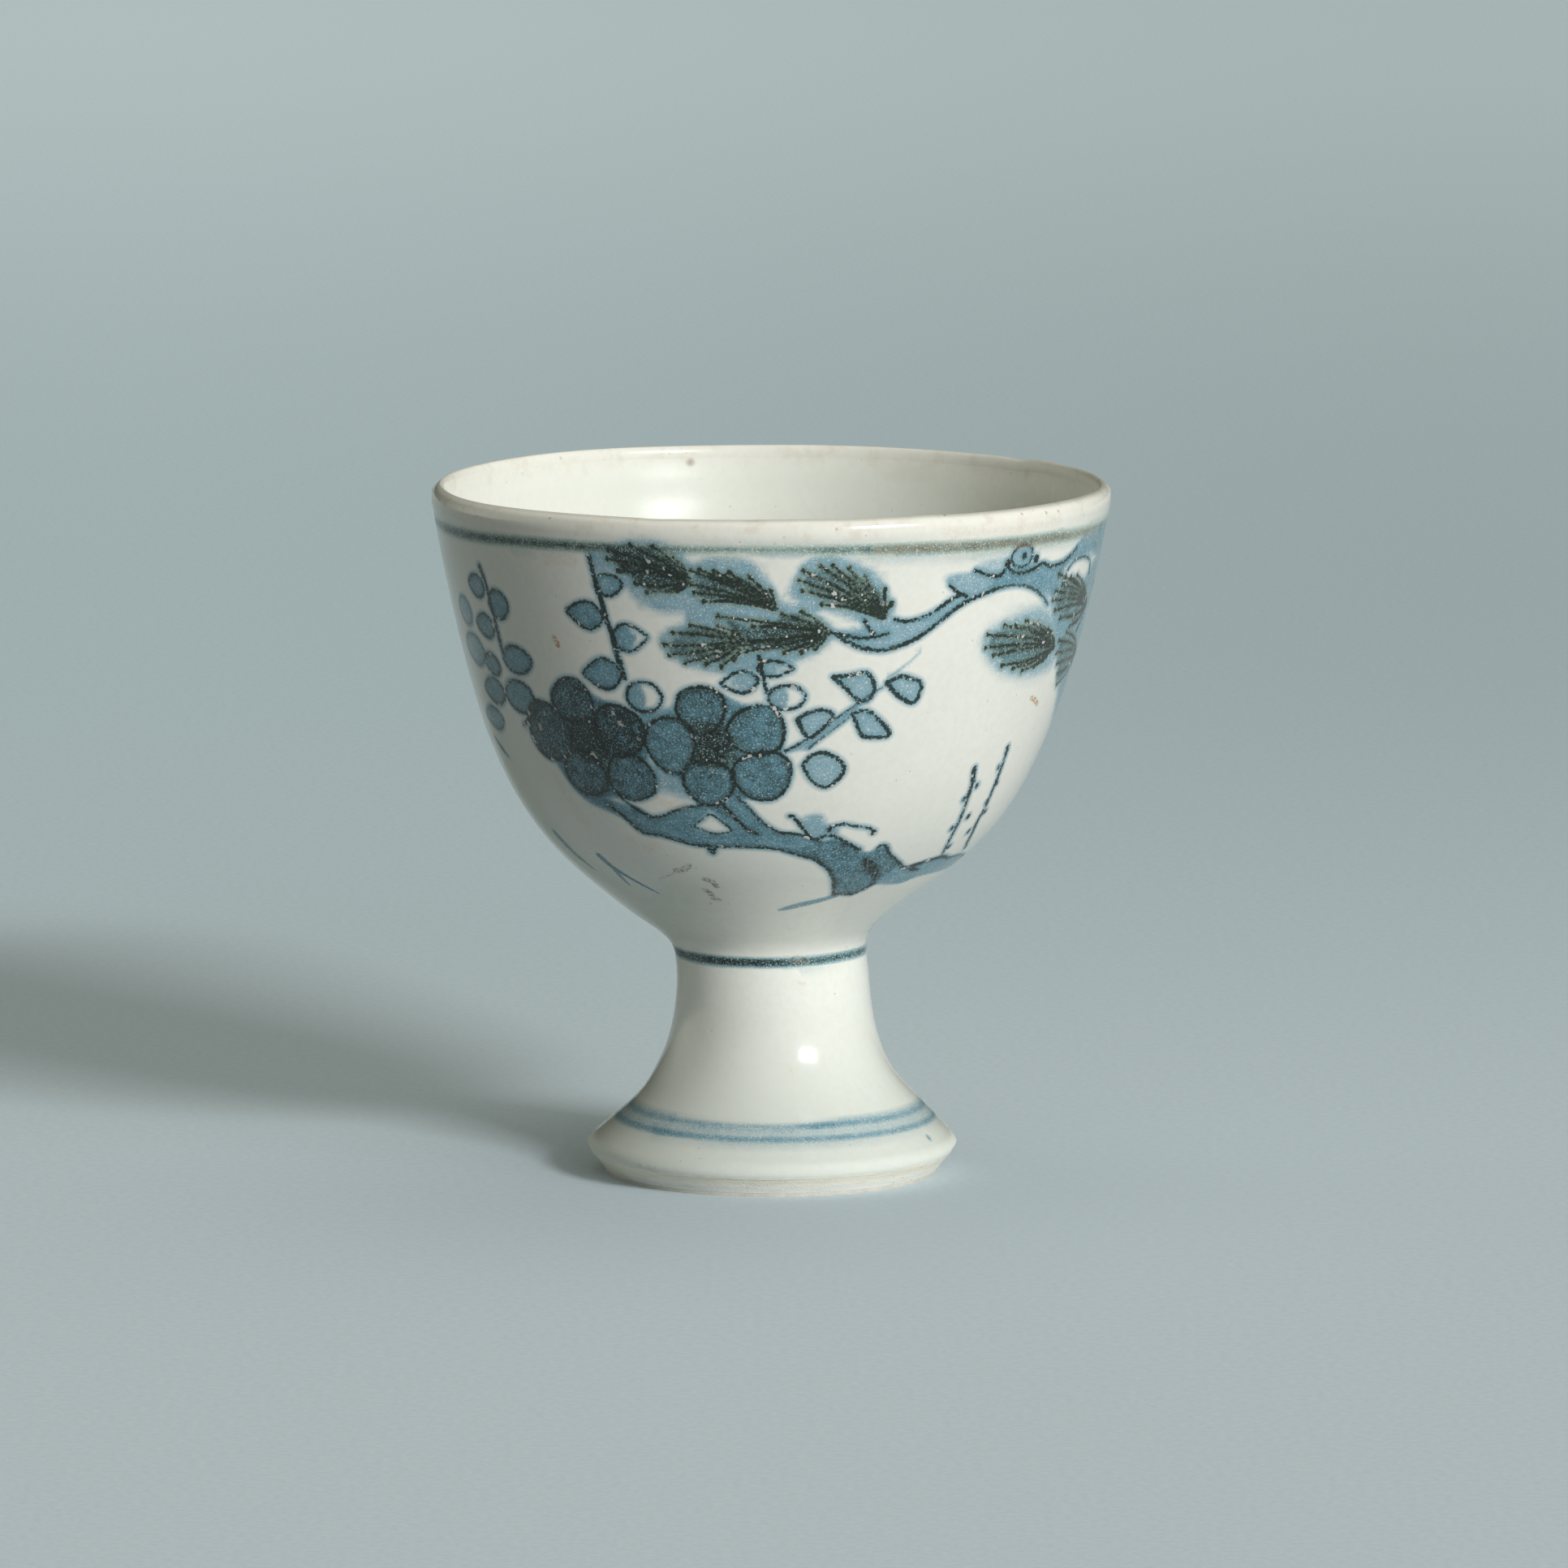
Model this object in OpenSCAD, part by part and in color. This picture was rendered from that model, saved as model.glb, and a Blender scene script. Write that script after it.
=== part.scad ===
// Small blue-and-white porcelain stem cup.
// A thrown bowl stands on a separately thrown hollow stem. A boss under the bowl drops into
// the stem's bore, slip lutes the two together, and glaze coats the outside and the lining.
// Sizes are in millimetres, with the origin at the middle of the foot ring, on the table.

/* [Overall] */
// Height of the glazed cup
cup_h = 60; // [56:0.5:66]
// Diameter of the glazed cup across the lip
rim_d = 58.6; // [54:0.2:63]

/* [Bowl] */
// Thickness of the porcelain at the lip
lip_t = 0.75; // [0.6:0.05:1.2]
// Place of the lip's crest, in from the outside, as a share of its thickness
lip_crest = 0.65; // [0.5:0.05:0.75]
// Height over which the lip rounds over to its crest
lip_fall = 0.8; // [0.5:0.05:1.2]
// Angle by which the wall leans outwards below the lip
lip_lean = 10; // [4:1:14]
// Thickness of the wall where the belly begins
wall_t = 3; // [2.2:0.1:3.6]
// Thickness of the floor on the axis, above the joint
floor_t = 3.9; // [2.8:0.1:4.8]
// Diameter at which the neck's hollow curve runs into the belly
under_d = 19.7; // [18.5:0.1:21]
// Height of that place above the joint
under_rise = 3.4; // [2.8:0.1:4]
// Slope of the underside at that place
under_slope = 40; // [35:1:45]
// Fullness of the belly near the underside, as a share of its span
belly_low = 0.27; // [0.2:0.01:0.34]
// Fullness of the belly near the lip, as a share of its span
belly_high = 0.72; // [0.6:0.01:0.8]

/* [Stem] */
// Height of the luted joint above the table
joint_h = 18.6; // [16:0.1:21]
// Diameter of the glazed stem at the joint
neck_d = 16.6; // [15:0.1:18]
// Wall of the stem at the joint
stem_wall = 2.7; // [2:0.1:3.2]
// Length of straight bore at the top of the stem
bore_h = 4; // [3:0.1:6]
// Hollow of the flare near the neck, as a share of its span
flare_neck = 0.57; // [0.48:0.01:0.66]
// Hollow of the flare near the foot, as a share of its span
flare_foot = 0.33; // [0.24:0.01:0.4]

/* [Foot] */
// Diameter of the glazed foot at its widest edge
foot_d = 32.1; // [30:0.1:35]
// Height of the widest edge above the table
foot_edge_h = 2.25; // [2:0.05:2.8]
// Radius that rounds the foot's edge
foot_round = 0.7; // [0.4:0.05:0.9]
// Slope at which the flare runs out into the edge
flare_slope = 45; // [38:1:52]
// Diameter of the bare foot ring at the table
ring_d = 28.9; // [27.5:0.1:30]
// Upright height of the foot ring, below the bevel
ring_h = 0.3; // [0.2:0.05:0.6]
// Width of the foot ring's resting face
ring_w = 2.6; // [2:0.1:3.2]
// Slope at which the well under the stem opens at the foot ring
well_slope = 52; // [45:1:60]

/* [Joint] */
// Depth of the boss under the bowl
boss_h = 1.8; // [1.2:0.1:2.6]
// Thickness of the luting slip
slip_t = 0.4; // [0.2:0.05:0.6]

/* [Glaze] */
// Thickness of the glaze
glaze_t = 0.25; // [0.15:0.01:0.35]
// Width by which the glaze laps over the foot's edge, above the bevel that is wiped bare
glaze_lap = 0.1; // [0.05:0.05:0.6]

/* [Hidden] */

$fn = 128;
curve_steps = 24;
arc_steps = 10;

porcelain = [0.90, 0.88, 0.84];
slip_white = [0.95, 0.94, 0.90];
glaze_blue_white = [0.86, 0.90, 0.92];

// A point on a cubic curve through four control points, and the curve's heading there.
function cubic(p, t) =
    pow(1 - t, 3) * p[0] + 3 * pow(1 - t, 2) * t * p[1] + 3 * (1 - t) * t * t * p[2] + pow(t, 3) * p[3];
function heading(p, t) =
    pow(1 - t, 2) * (p[1] - p[0]) + 2 * (1 - t) * t * (p[2] - p[1]) + t * t * (p[3] - p[2]);

// The unit normal to the right of a heading, which is outwards on a profile drawn upwards.
function right_of(v) = [v[1], -v[0]] / norm(v);
function toward(a) = [cos(a), sin(a)];

// Points along a curve moved outwards by d at its start and by d_end at its end.
function run(p, d, d_end) = [
    for (i = [0:curve_steps])
        let (t = i / curve_steps)
        cubic(p, t) + (d + (d_end - d) * t) * right_of(heading(p, t))
];
function arc(c, r, a0, a1) = [
    for (i = [0:arc_steps]) c + r * toward(a0 + (a1 - a0) * i / arc_steps)
];

// Points round an oval about c, half a wide and half b tall, moved outwards by d.
function oval(c, a, b, a0, a1, d) = [
    for (i = [0:arc_steps])
        let (t = a0 + (a1 - a0) * i / arc_steps, n = [b * cos(t), a * sin(t)])
        c + [a * cos(t), b * sin(t)] + d * n / norm(n)
];
function backwards(p) = [for (i = [len(p) - 1:-1:0]) p[i]];

// A curve from one place to another, leaving along angle a0 and arriving along angle a1.
// Each handle is a share of the straight distance between the two places.
function bend(start, a0, share0, end, a1, share1) =
    let (span = norm(end - start))
    [start, start + share0 * span * toward(a0), end - share1 * span * toward(a1), end];

// The porcelain's own outline lies one glaze thickness inside the finished one.
neck_r = neck_d / 2 - glaze_t;
bore_r = neck_r - stem_wall;
boss_r = bore_r - slip_t;
stem_top = joint_h - slip_t / 2;
bowl_bottom = joint_h + slip_t / 2;
boss_bottom = bowl_bottom - boss_h;
floor_z = bowl_bottom + floor_t;

// The lip is rolled: broad and upright outside, with its crest nearer the inside.
lip_out = lip_crest * lip_t;
lip_in = lip_t - lip_out;
lip_mid = [rim_d / 2 - glaze_t - lip_out, cup_h - glaze_t - lip_fall];
lip_start = -atan(lip_fall / lip_out * tan(lip_lean));

// The bowl's outside: a hollow neck curve, then the belly up to the lip.
neck_start = [neck_r, bowl_bottom];
belly_start = [under_d / 2, joint_h + under_rise];
belly_end = lip_mid + [lip_out * cos(lip_start), lip_fall * sin(lip_start)];
neck_share = 0.4;
neck_curve = bend(neck_start, 90, neck_share, belly_start, under_slope, neck_share);
belly_curve = bend(belly_start, under_slope, belly_low, belly_end, 90 - lip_lean, belly_high);

// The bowl's floor: from the wall's inner face down to a level middle.
floor_edge = belly_start - wall_t * right_of(toward(under_slope));
floor_drop = floor_edge[1] - floor_z;
floor_share = 0.75;
level_share = 0.5;
floor_curve = [
    [0, floor_z],
    [level_share * floor_edge[0], floor_z],
    floor_edge - floor_share * floor_drop / sin(under_slope) * toward(under_slope),
    floor_edge
];

// The foot: a rounded edge between the flare above it and a bevel down to the foot ring.
edge_mid = [foot_d / 2 - glaze_t - foot_round, foot_edge_h];
ring_corner = [ring_d / 2, ring_h];
to_corner = ring_corner - edge_mid;
bevel_angle = atan2(to_corner[1], to_corner[0]) + acos(foot_round / norm(to_corner));
flare_angle = 90 - flare_slope;
bevel_top = edge_mid + foot_round * toward(bevel_angle);
glaze_stop = bevel_top - glaze_lap * toward(bevel_angle + 90);

// The stem's outside flare and the well inside it, both drawn upwards.
flare_start = edge_mid + foot_round * toward(flare_angle);
flare_curve = bend(flare_start, flare_angle + 90, flare_foot, [neck_r, stem_top], 90, flare_neck);
well_start = [ring_d / 2 - ring_w, 0];
well_curve = bend(well_start, 180 - well_slope, flare_foot, [bore_r, stem_top - bore_h], 90, flare_neck);

// The outside profile from the wiped bevel up to the lip's crest, moved outwards by d.
function outside(d) = concat(
    [glaze_stop + d * toward(bevel_angle)],
    arc(edge_mid, foot_round + d, bevel_angle, flare_angle),
    run(flare_curve, d, d),
    run(neck_curve, d, d),
    run(belly_curve, d, d),
    oval(lip_mid, lip_out, lip_fall, lip_start, 90, d)
);

// The lining profile from the middle of the floor up to the lip's crest, moved inwards by d.
function lining(d) = concat(
    [[0, floor_z + d]],
    [for (p = run(floor_curve, -d, -d)) if (p[0] > 0) p],
    run(belly_curve, -wall_t - d, -lip_t - d),
    backwards(oval(lip_mid, lip_in, lip_fall, 90, 180, d))
);

// Bowl, turned as one piece with the boss that centres it on the stem.
module bowl() {
    color(porcelain)
        rotate_extrude()
            polygon(concat(
                [[0, boss_bottom], [boss_r, boss_bottom], [boss_r, bowl_bottom]],
                run(neck_curve, 0, 0),
                run(belly_curve, 0, 0),
                oval(lip_mid, lip_out, lip_fall, lip_start, 90, 0),
                backwards(lining(0))
            ));
}

// Hollow stem, splayed to a bevelled foot with a bare ring to stand on.
module stem() {
    color(porcelain)
        rotate_extrude()
            polygon(concat(
                [[ring_d / 2, 0], ring_corner],
                arc(edge_mid, foot_round, bevel_angle, flare_angle),
                run(flare_curve, 0, 0),
                [[bore_r, stem_top]],
                backwards(run(well_curve, 0, 0))
            ));
}

// Luting slip: a collar round the boss and a washer between the stem's top and the bowl.
module luting_slip() {
    color(slip_white)
        rotate_extrude()
            polygon([
                [boss_r, boss_bottom],
                [bore_r, boss_bottom],
                [bore_r, stem_top],
                [neck_r, stem_top],
                [neck_r, bowl_bottom],
                [boss_r, bowl_bottom]
            ]);
}

// Glaze over the outside, from the wiped bevel of the foot up to the lip's crest.
module outer_glaze() {
    color(glaze_blue_white)
        rotate_extrude()
            polygon(concat(outside(0), backwards(outside(glaze_t))));
}

// Glaze inside the bowl, meeting the outer coat at the lip's crest.
module lining_glaze() {
    color(glaze_blue_white)
        rotate_extrude()
            polygon(concat(lining(0), backwards(lining(glaze_t))));
}

bowl();
stem();
luting_slip();
outer_glaze();
lining_glaze();
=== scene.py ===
import math

import bpy
import numpy as np
from bpy.props import FloatProperty, FloatVectorProperty, IntProperty, PointerProperty
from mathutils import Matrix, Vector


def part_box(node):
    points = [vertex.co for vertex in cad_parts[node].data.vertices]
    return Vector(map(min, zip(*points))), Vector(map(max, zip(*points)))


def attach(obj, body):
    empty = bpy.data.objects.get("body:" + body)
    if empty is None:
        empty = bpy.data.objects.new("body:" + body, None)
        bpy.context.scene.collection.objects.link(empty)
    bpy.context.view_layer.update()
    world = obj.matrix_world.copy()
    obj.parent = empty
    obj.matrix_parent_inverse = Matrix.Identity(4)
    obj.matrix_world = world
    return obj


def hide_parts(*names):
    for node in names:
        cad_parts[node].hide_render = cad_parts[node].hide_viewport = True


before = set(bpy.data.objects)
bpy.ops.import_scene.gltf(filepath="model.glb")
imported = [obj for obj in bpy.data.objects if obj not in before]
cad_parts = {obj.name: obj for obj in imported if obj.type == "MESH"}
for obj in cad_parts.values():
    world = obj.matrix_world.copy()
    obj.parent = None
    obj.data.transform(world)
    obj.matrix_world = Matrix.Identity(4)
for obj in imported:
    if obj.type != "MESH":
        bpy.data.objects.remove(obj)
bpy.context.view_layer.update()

bl_info = {
    "name": "Blue-and-white stem cup",
    "version": (1, 0, 0),
    "blender": (4, 5, 0),
    "location": "3D View > Sidebar > Stem Cup",
    "description": "Builds a thrown porcelain stem cup with a cobalt painting under its glaze",
    "category": "Add Mesh",
}

MM = 0.001
FULL_TURN = 2 * math.pi

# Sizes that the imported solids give, in metres
CUP_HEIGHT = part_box("outer_glaze")[1].z
RIM_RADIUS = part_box("outer_glaze")[1].x
BODY_FOOT_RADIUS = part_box("stem")[1].x
SLIP_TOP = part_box("luting_slip")[1].z
STEM_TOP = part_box("stem")[1].z
BOWL_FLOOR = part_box("lining_glaze")[0].z

# How far the thrown cup leans off its axis, as height and sideways lean in millimetres
LEAN = [
    (0, 0), (2.3, 0), (4.4, 0.28), (5.8, 0.46), (7, 0.46), (8.7, 0.18), (14, 0.18), (17, 0.14),
    (18.6, 0), (20, -0.2), (21.4, -0.67), (22.8, -1.1), (24, -1.03), (25.7, -0.85), (28.5, -0.64),
    (31, -0.46), (38, -0.35), (45, -0.14), (60, 0),
]
# How softly it turns, and the heights at which it is worked out, in millimetres
LEAN_SOFTNESS = 0.8
LEAN_LOW = -5
LEAN_HIGH = 66
LEAN_STEP = 0.1

# The rim rises and dips a little: height in millimetres, lobes round the cup and start angle
RIM_WAVES = [(0.08, 2, 40), (0.05, 3, 100), (0.03, 7, 10)]
# Dents in the rim: angle, height in millimetres and half width in degrees
RIM_DENTS = [(130, -0.14, 3), (123, 0.08, 4), (-20, -0.06, 3), (14, -0.06, 4), (28, 0.05, 3)]
# Height in millimetres from which the wall follows the rim up and down
RIM_WAVE_START = 48

# Cells of the painted coat: the coarsest, how often one is halved, and the rows at its back
COAT_COLUMNS = 96
COAT_ROWS = 36
COAT_HALVINGS = 4
COAT_LEAST_HALVINGS = 1
COAT_BACK_ROWS = 49
# How far a cell's corners may miss the ink, in millimetres, more by a share of the way to it
INK_ERROR = 0.055
INK_SLACK = 0.3
# How far they may miss the strength of a wash
WASH_ERROR = 0.08

# How far from a brush mark its distance is still kept, in millimetres
INK_REACH = 1.2
# How far beyond that, or beyond a wash, places are still looked at
INK_MARGIN = 0.5
WASH_MARGIN = 2
# A mark that reaches further than this to each side, in radians, goes all the way round
RING_REACH = math.pi - 0.2

# Map of the coat: the share of a quarter that is filled, its margin, and the heights of its strips
MAP_FILL = 0.98
MAP_MARGIN = 0.01
MAP_FRONT_HEIGHT = 0.47
MAP_BACK_START = 0.95
MAP_BACK_HEIGHT = 0.04

BAKE_MAP = "OFBake"


# Curves of the turned profile


def toward(angle):
    """Unit vector along an angle in degrees."""
    return np.array([math.cos(math.radians(angle)), math.sin(math.radians(angle))])


def right_of(vectors):
    """Unit normals to the right of headings, which is outwards on a profile drawn upwards."""
    turned = np.column_stack([vectors[:, 1], -vectors[:, 0]])
    return turned / np.linalg.norm(turned, axis=1)[:, None]


def bend(start, angle0, share0, end, angle1, share1):
    """Cubic from one place to another, leaving along angle0 and arriving along angle1."""
    span = np.linalg.norm(end - start)
    leaving = start + share0 * span * toward(angle0)
    arriving = end - share1 * span * toward(angle1)
    return np.array([start, leaving, arriving, end])


def run(curve, d, d_end, steps):
    """Points along a cubic, moved outwards by d at its start and by d_end at its end."""
    t = np.linspace(0, 1, steps + 1)[:, None]
    u = 1 - t
    p0, p1, p2, p3 = curve
    points = u**3 * p0 + 3 * u * u * t * p1 + 3 * u * t * t * p2 + t**3 * p3
    heading = u * u * (p1 - p0) + 2 * u * t * (p2 - p1) + t * t * (p3 - p2)
    return points + (d + (d_end - d) * t) * right_of(heading)


def arc(centre, radius, angle0, angle1, steps):
    """Points on a circle from one angle to another."""
    return np.array([centre + radius * toward(a) for a in np.linspace(angle0, angle1, steps + 1)])


def oval(centre, wide, tall, angle0, angle1, d, steps):
    """Points on an oval from one angle to another, moved outwards by d."""
    t = np.radians(np.linspace(angle0, angle1, steps + 1))
    normal = np.column_stack([tall * np.cos(t), wide * np.sin(t)])
    normal /= np.linalg.norm(normal, axis=1)[:, None]
    return centre + np.column_stack([wide * np.cos(t), tall * np.sin(t)]) + d * normal


class CupProfile:
    """The cup's half section in millimetres, as the solids have it."""

    arc_steps = 24
    curve_steps = 60
    neck_share = 0.4
    floor_share = 0.75
    level_share = 0.5
    wiped_share = 0.2

    def __init__(self, sizes):
        mm = {name: getattr(sizes, name) / MM for name in sizes.length_names()}
        glaze = mm["glaze_thickness"]
        self.glaze = glaze
        self.lip_t = mm["lip_thickness"]
        self.lip_out = sizes.lip_crest * self.lip_t
        self.lip_fall = mm["lip_fall"]
        self.wall_t = mm["wall_thickness"]
        self.neck_r = mm["neck_diameter"] / 2 - glaze
        self.bore_r = self.neck_r - mm["stem_wall"]
        self.boss_r = self.bore_r - mm["slip_thickness"]
        self.stem_top = mm["stem_top"]
        self.bowl_bottom = mm["stem_top"] + mm["slip_thickness"]
        self.boss_bottom = self.bowl_bottom - mm["boss_height"]
        self.floor_z = mm["floor_height"]
        joint = self.stem_top + mm["slip_thickness"] / 2
        self.lip_mid = np.array([
            mm["rim_diameter"] / 2 - glaze - self.lip_out, mm["cup_height"] - glaze - self.lip_fall
        ])
        steepness = math.tan(math.radians(sizes.lip_lean)) * self.lip_fall / self.lip_out
        self.lip_start = -math.degrees(math.atan(steepness))
        belly_start = np.array([mm["under_diameter"] / 2, joint + mm["under_rise"]])
        belly_end = self.lip_outside(0)[0]
        slope = sizes.under_slope
        neck_start = np.array([self.neck_r, self.bowl_bottom])
        self.neck_curve = bend(neck_start, 90, self.neck_share, belly_start, slope, self.neck_share)
        self.belly_curve = bend(
            belly_start, slope, sizes.belly_low, belly_end, 90 - sizes.lip_lean, sizes.belly_high
        )
        floor_edge = belly_start - self.wall_t * right_of(toward(slope)[None])[0]
        drop = (floor_edge[1] - self.floor_z) / math.sin(math.radians(slope))
        self.floor_curve = np.array([
            [0, self.floor_z],
            [self.level_share * floor_edge[0], self.floor_z],
            floor_edge - self.floor_share * drop * toward(slope),
            floor_edge,
        ])
        self.foot_round = mm["foot_round"]
        edge_mid_r = mm["foot_diameter"] / 2 - glaze - self.foot_round
        self.edge_mid = np.array([edge_mid_r, mm["foot_edge_height"]])
        self.ring_corner = np.array([mm["ring_diameter"] / 2, mm["ring_height"]])
        to_corner = self.ring_corner - self.edge_mid
        lean_in = math.degrees(math.acos(self.foot_round / np.linalg.norm(to_corner)))
        self.bevel_angle = math.degrees(math.atan2(to_corner[1], to_corner[0])) + lean_in
        self.flare_angle = 90 - sizes.flare_slope
        bevel_top = self.edge_mid + self.foot_round * toward(self.bevel_angle)
        self.glaze_stop = bevel_top - mm["glaze_lap"] * toward(self.bevel_angle + 90)
        flare_start = self.edge_mid + self.foot_round * toward(self.flare_angle)
        flare_end = np.array([self.neck_r, self.stem_top])
        self.flare_curve = bend(
            flare_start, self.flare_angle + 90, sizes.flare_foot, flare_end, 90, sizes.flare_neck
        )
        well_start = np.array([mm["ring_diameter"] / 2 - mm["ring_width"], 0])
        well_end = np.array([self.bore_r, self.stem_top - mm["bore_height"]])
        self.well_curve = bend(
            well_start, 180 - sizes.well_slope, sizes.flare_foot, well_end, 90, sizes.flare_neck
        )

    def lip_outside(self, d):
        """The rolled lip from the wall up to its crest, moved outwards by d."""
        steps = self.arc_steps
        return oval(self.lip_mid, self.lip_out, self.lip_fall, self.lip_start, 90, d, steps)

    def foot_edge(self, d):
        """The foot's edge under a coat d thick, which thins towards the wiped bevel."""
        angles = np.linspace(self.bevel_angle, self.flare_angle, self.arc_steps + 1)
        covered = ease(angles, self.bevel_angle, 0)
        thickness = d * (self.wiped_share + (1 - self.wiped_share) * covered)
        radii = self.foot_round + thickness
        return np.array([self.edge_mid + r * toward(a) for a, r in zip(angles, radii)])

    def outside(self, d):
        """From the wiped bevel up to the lip's crest, moved outwards by d."""
        steps = self.curve_steps
        return np.vstack([
            [self.glaze_stop + self.wiped_share * d * toward(self.bevel_angle)],
            self.foot_edge(d),
            run(self.flare_curve, d, d, steps)[1:],
            run(self.neck_curve, d, d, steps),
            run(self.belly_curve, d, d, steps)[1:],
            self.lip_outside(d)[1:],
        ])

    def lining(self, d):
        """From the middle of the floor up to the lip's crest, moved inwards by d."""
        steps = self.curve_steps
        floor = run(self.floor_curve, -d, -d, steps)
        wall = run(self.belly_curve, -self.wall_t - d, -self.lip_t - d, steps)
        lip_in = self.lip_t - self.lip_out
        lip = oval(self.lip_mid, lip_in, self.lip_fall, 180, 90, d, self.arc_steps)
        return np.vstack([[[0, self.floor_z + d]], floor[floor[:, 0] > 0], wall[1:], lip])

    def bowl(self):
        """Closed section of the bowl with its boss, ending on the axis."""
        steps = self.curve_steps
        return np.vstack([
            [[0, self.boss_bottom], [self.boss_r, self.boss_bottom]],
            [[self.boss_r, self.bowl_bottom]],
            run(self.neck_curve, 0, 0, steps),
            run(self.belly_curve, 0, 0, steps)[1:],
            self.lip_outside(0)[1:],
            self.lining(0)[::-1][1:],
        ])

    def stem(self):
        """Closed section of the hollow stem, from the foot ring round to the well."""
        steps = self.curve_steps
        ring_foot = [self.ring_corner[0], 0]
        return np.vstack([
            [ring_foot, self.ring_corner],
            arc(self.edge_mid, self.foot_round, self.bevel_angle, self.flare_angle, self.arc_steps),
            run(self.flare_curve, 0, 0, steps)[1:],
            [[self.bore_r, self.stem_top]],
            run(self.well_curve, 0, 0, steps)[::-1],
            [ring_foot],
        ])

    def slip(self):
        """Closed section of the slip: a collar round the boss under a washer."""
        return np.array([
            [self.boss_r, self.boss_bottom],
            [self.bore_r, self.boss_bottom],
            [self.bore_r, self.stem_top],
            [self.neck_r, self.stem_top],
            [self.neck_r, self.bowl_bottom],
            [self.boss_r, self.bowl_bottom],
            [self.boss_r, self.boss_bottom],
        ])


class Contour:
    """A profile measured along its own length, in millimetres."""

    def __init__(self, points):
        keep = np.append(True, np.linalg.norm(np.diff(points, axis=0), axis=1) > 1e-6)
        self.points = points[keep]
        self.s = np.append(0, np.cumsum(np.linalg.norm(np.diff(self.points, axis=0), axis=1)))
        self.length = self.s[-1]
        self.normals = right_of(np.gradient(self.points, self.s, axis=0))

    def at(self, s):
        """Radius and height at distances along the profile."""
        return np.interp(s, self.s, self.points[:, 0]), np.interp(s, self.s, self.points[:, 1])

    def normal(self, s):
        """Outward normals at distances along the profile."""
        n = np.column_stack([np.interp(s, self.s, self.normals[:, k]) for k in (0, 1)])
        return n / np.linalg.norm(n, axis=1)[:, None]

    def along(self, heights):
        """Distances along an ever-rising profile at which it reaches given heights."""
        return np.interp(heights, self.points[:, 1], self.s)


def smooth_lean():
    """The lean at even heights, with its corners rounded."""
    heights = np.arange(LEAN_LOW, LEAN_HIGH, LEAN_STEP)
    lean = np.interp(heights, [h for h, _ in LEAN], [x for _, x in LEAN])
    half = np.arange(-3 * LEAN_SOFTNESS, 3 * LEAN_SOFTNESS + LEAN_STEP / 2, LEAN_STEP)
    weight = np.exp(-((half / LEAN_SOFTNESS) ** 2))
    padded = np.pad(lean, len(half) // 2, mode="edge")
    return heights, np.convolve(padded, weight / weight.sum(), mode="valid")[: len(heights)]


LEAN_HEIGHTS, LEAN_OFFSETS = smooth_lean()


def settle(points):
    """Leans and waves points of the true round cup, in millimetres, as the thrown one does."""
    moved = points.copy()
    moved[:, 0] += np.interp(points[:, 2], LEAN_HEIGHTS, LEAN_OFFSETS)
    angle = np.arctan2(points[:, 0], -points[:, 1])
    share = np.clip((points[:, 2] - RIM_WAVE_START) / (CUP_HEIGHT / MM - RIM_WAVE_START), 0, 1)
    for height, lobes, start in RIM_WAVES:
        moved[:, 2] += height * share * np.sin(lobes * angle + math.radians(start))
    for at, height, half in RIM_DENTS:
        away = (np.degrees(angle) - at + 180) % 360 - 180
        moved[:, 2] += height * share**3 * np.exp(-((away / half) ** 2))
    return moved


# The painting


def spline(points, closed=False, steps=6):
    """A smooth line through points, sampled evenly between each two."""
    p = np.asarray(points, float)
    if closed:
        p = np.vstack([p[-1], p, p[:2]])
    else:
        p = np.vstack([2 * p[0] - p[1], p, 2 * p[-1] - p[-2]])
    t = np.arange(steps)[:, None] / steps
    spans = []
    for a, b, c, d in zip(p, p[1:], p[2:], p[3:]):
        square = (2 * a - 5 * b + 4 * c - d) * t**2
        cube = (3 * b - a - 3 * c + d) * t**3
        spans.append(0.5 * (2 * b + (c - a) * t + square + cube))
    if not closed:
        spans.append(p[-2:-1])
    return np.vstack(spans)


def ease(value, low, high):
    """Smooth step from 0 at low to 1 at high."""
    t = np.clip((value - low) / (high - low), 0, 1)
    return t * t * (3 - 2 * t)


def round_outline(a, z, wide, high, step, start=0, end=360):
    """Places round a centre, by half width in degrees and half height in millimetres."""
    turn = np.radians(np.arange(start, end, step))
    return [(a + wide * math.cos(t), z + high * math.sin(t)) for t in turn]


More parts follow.
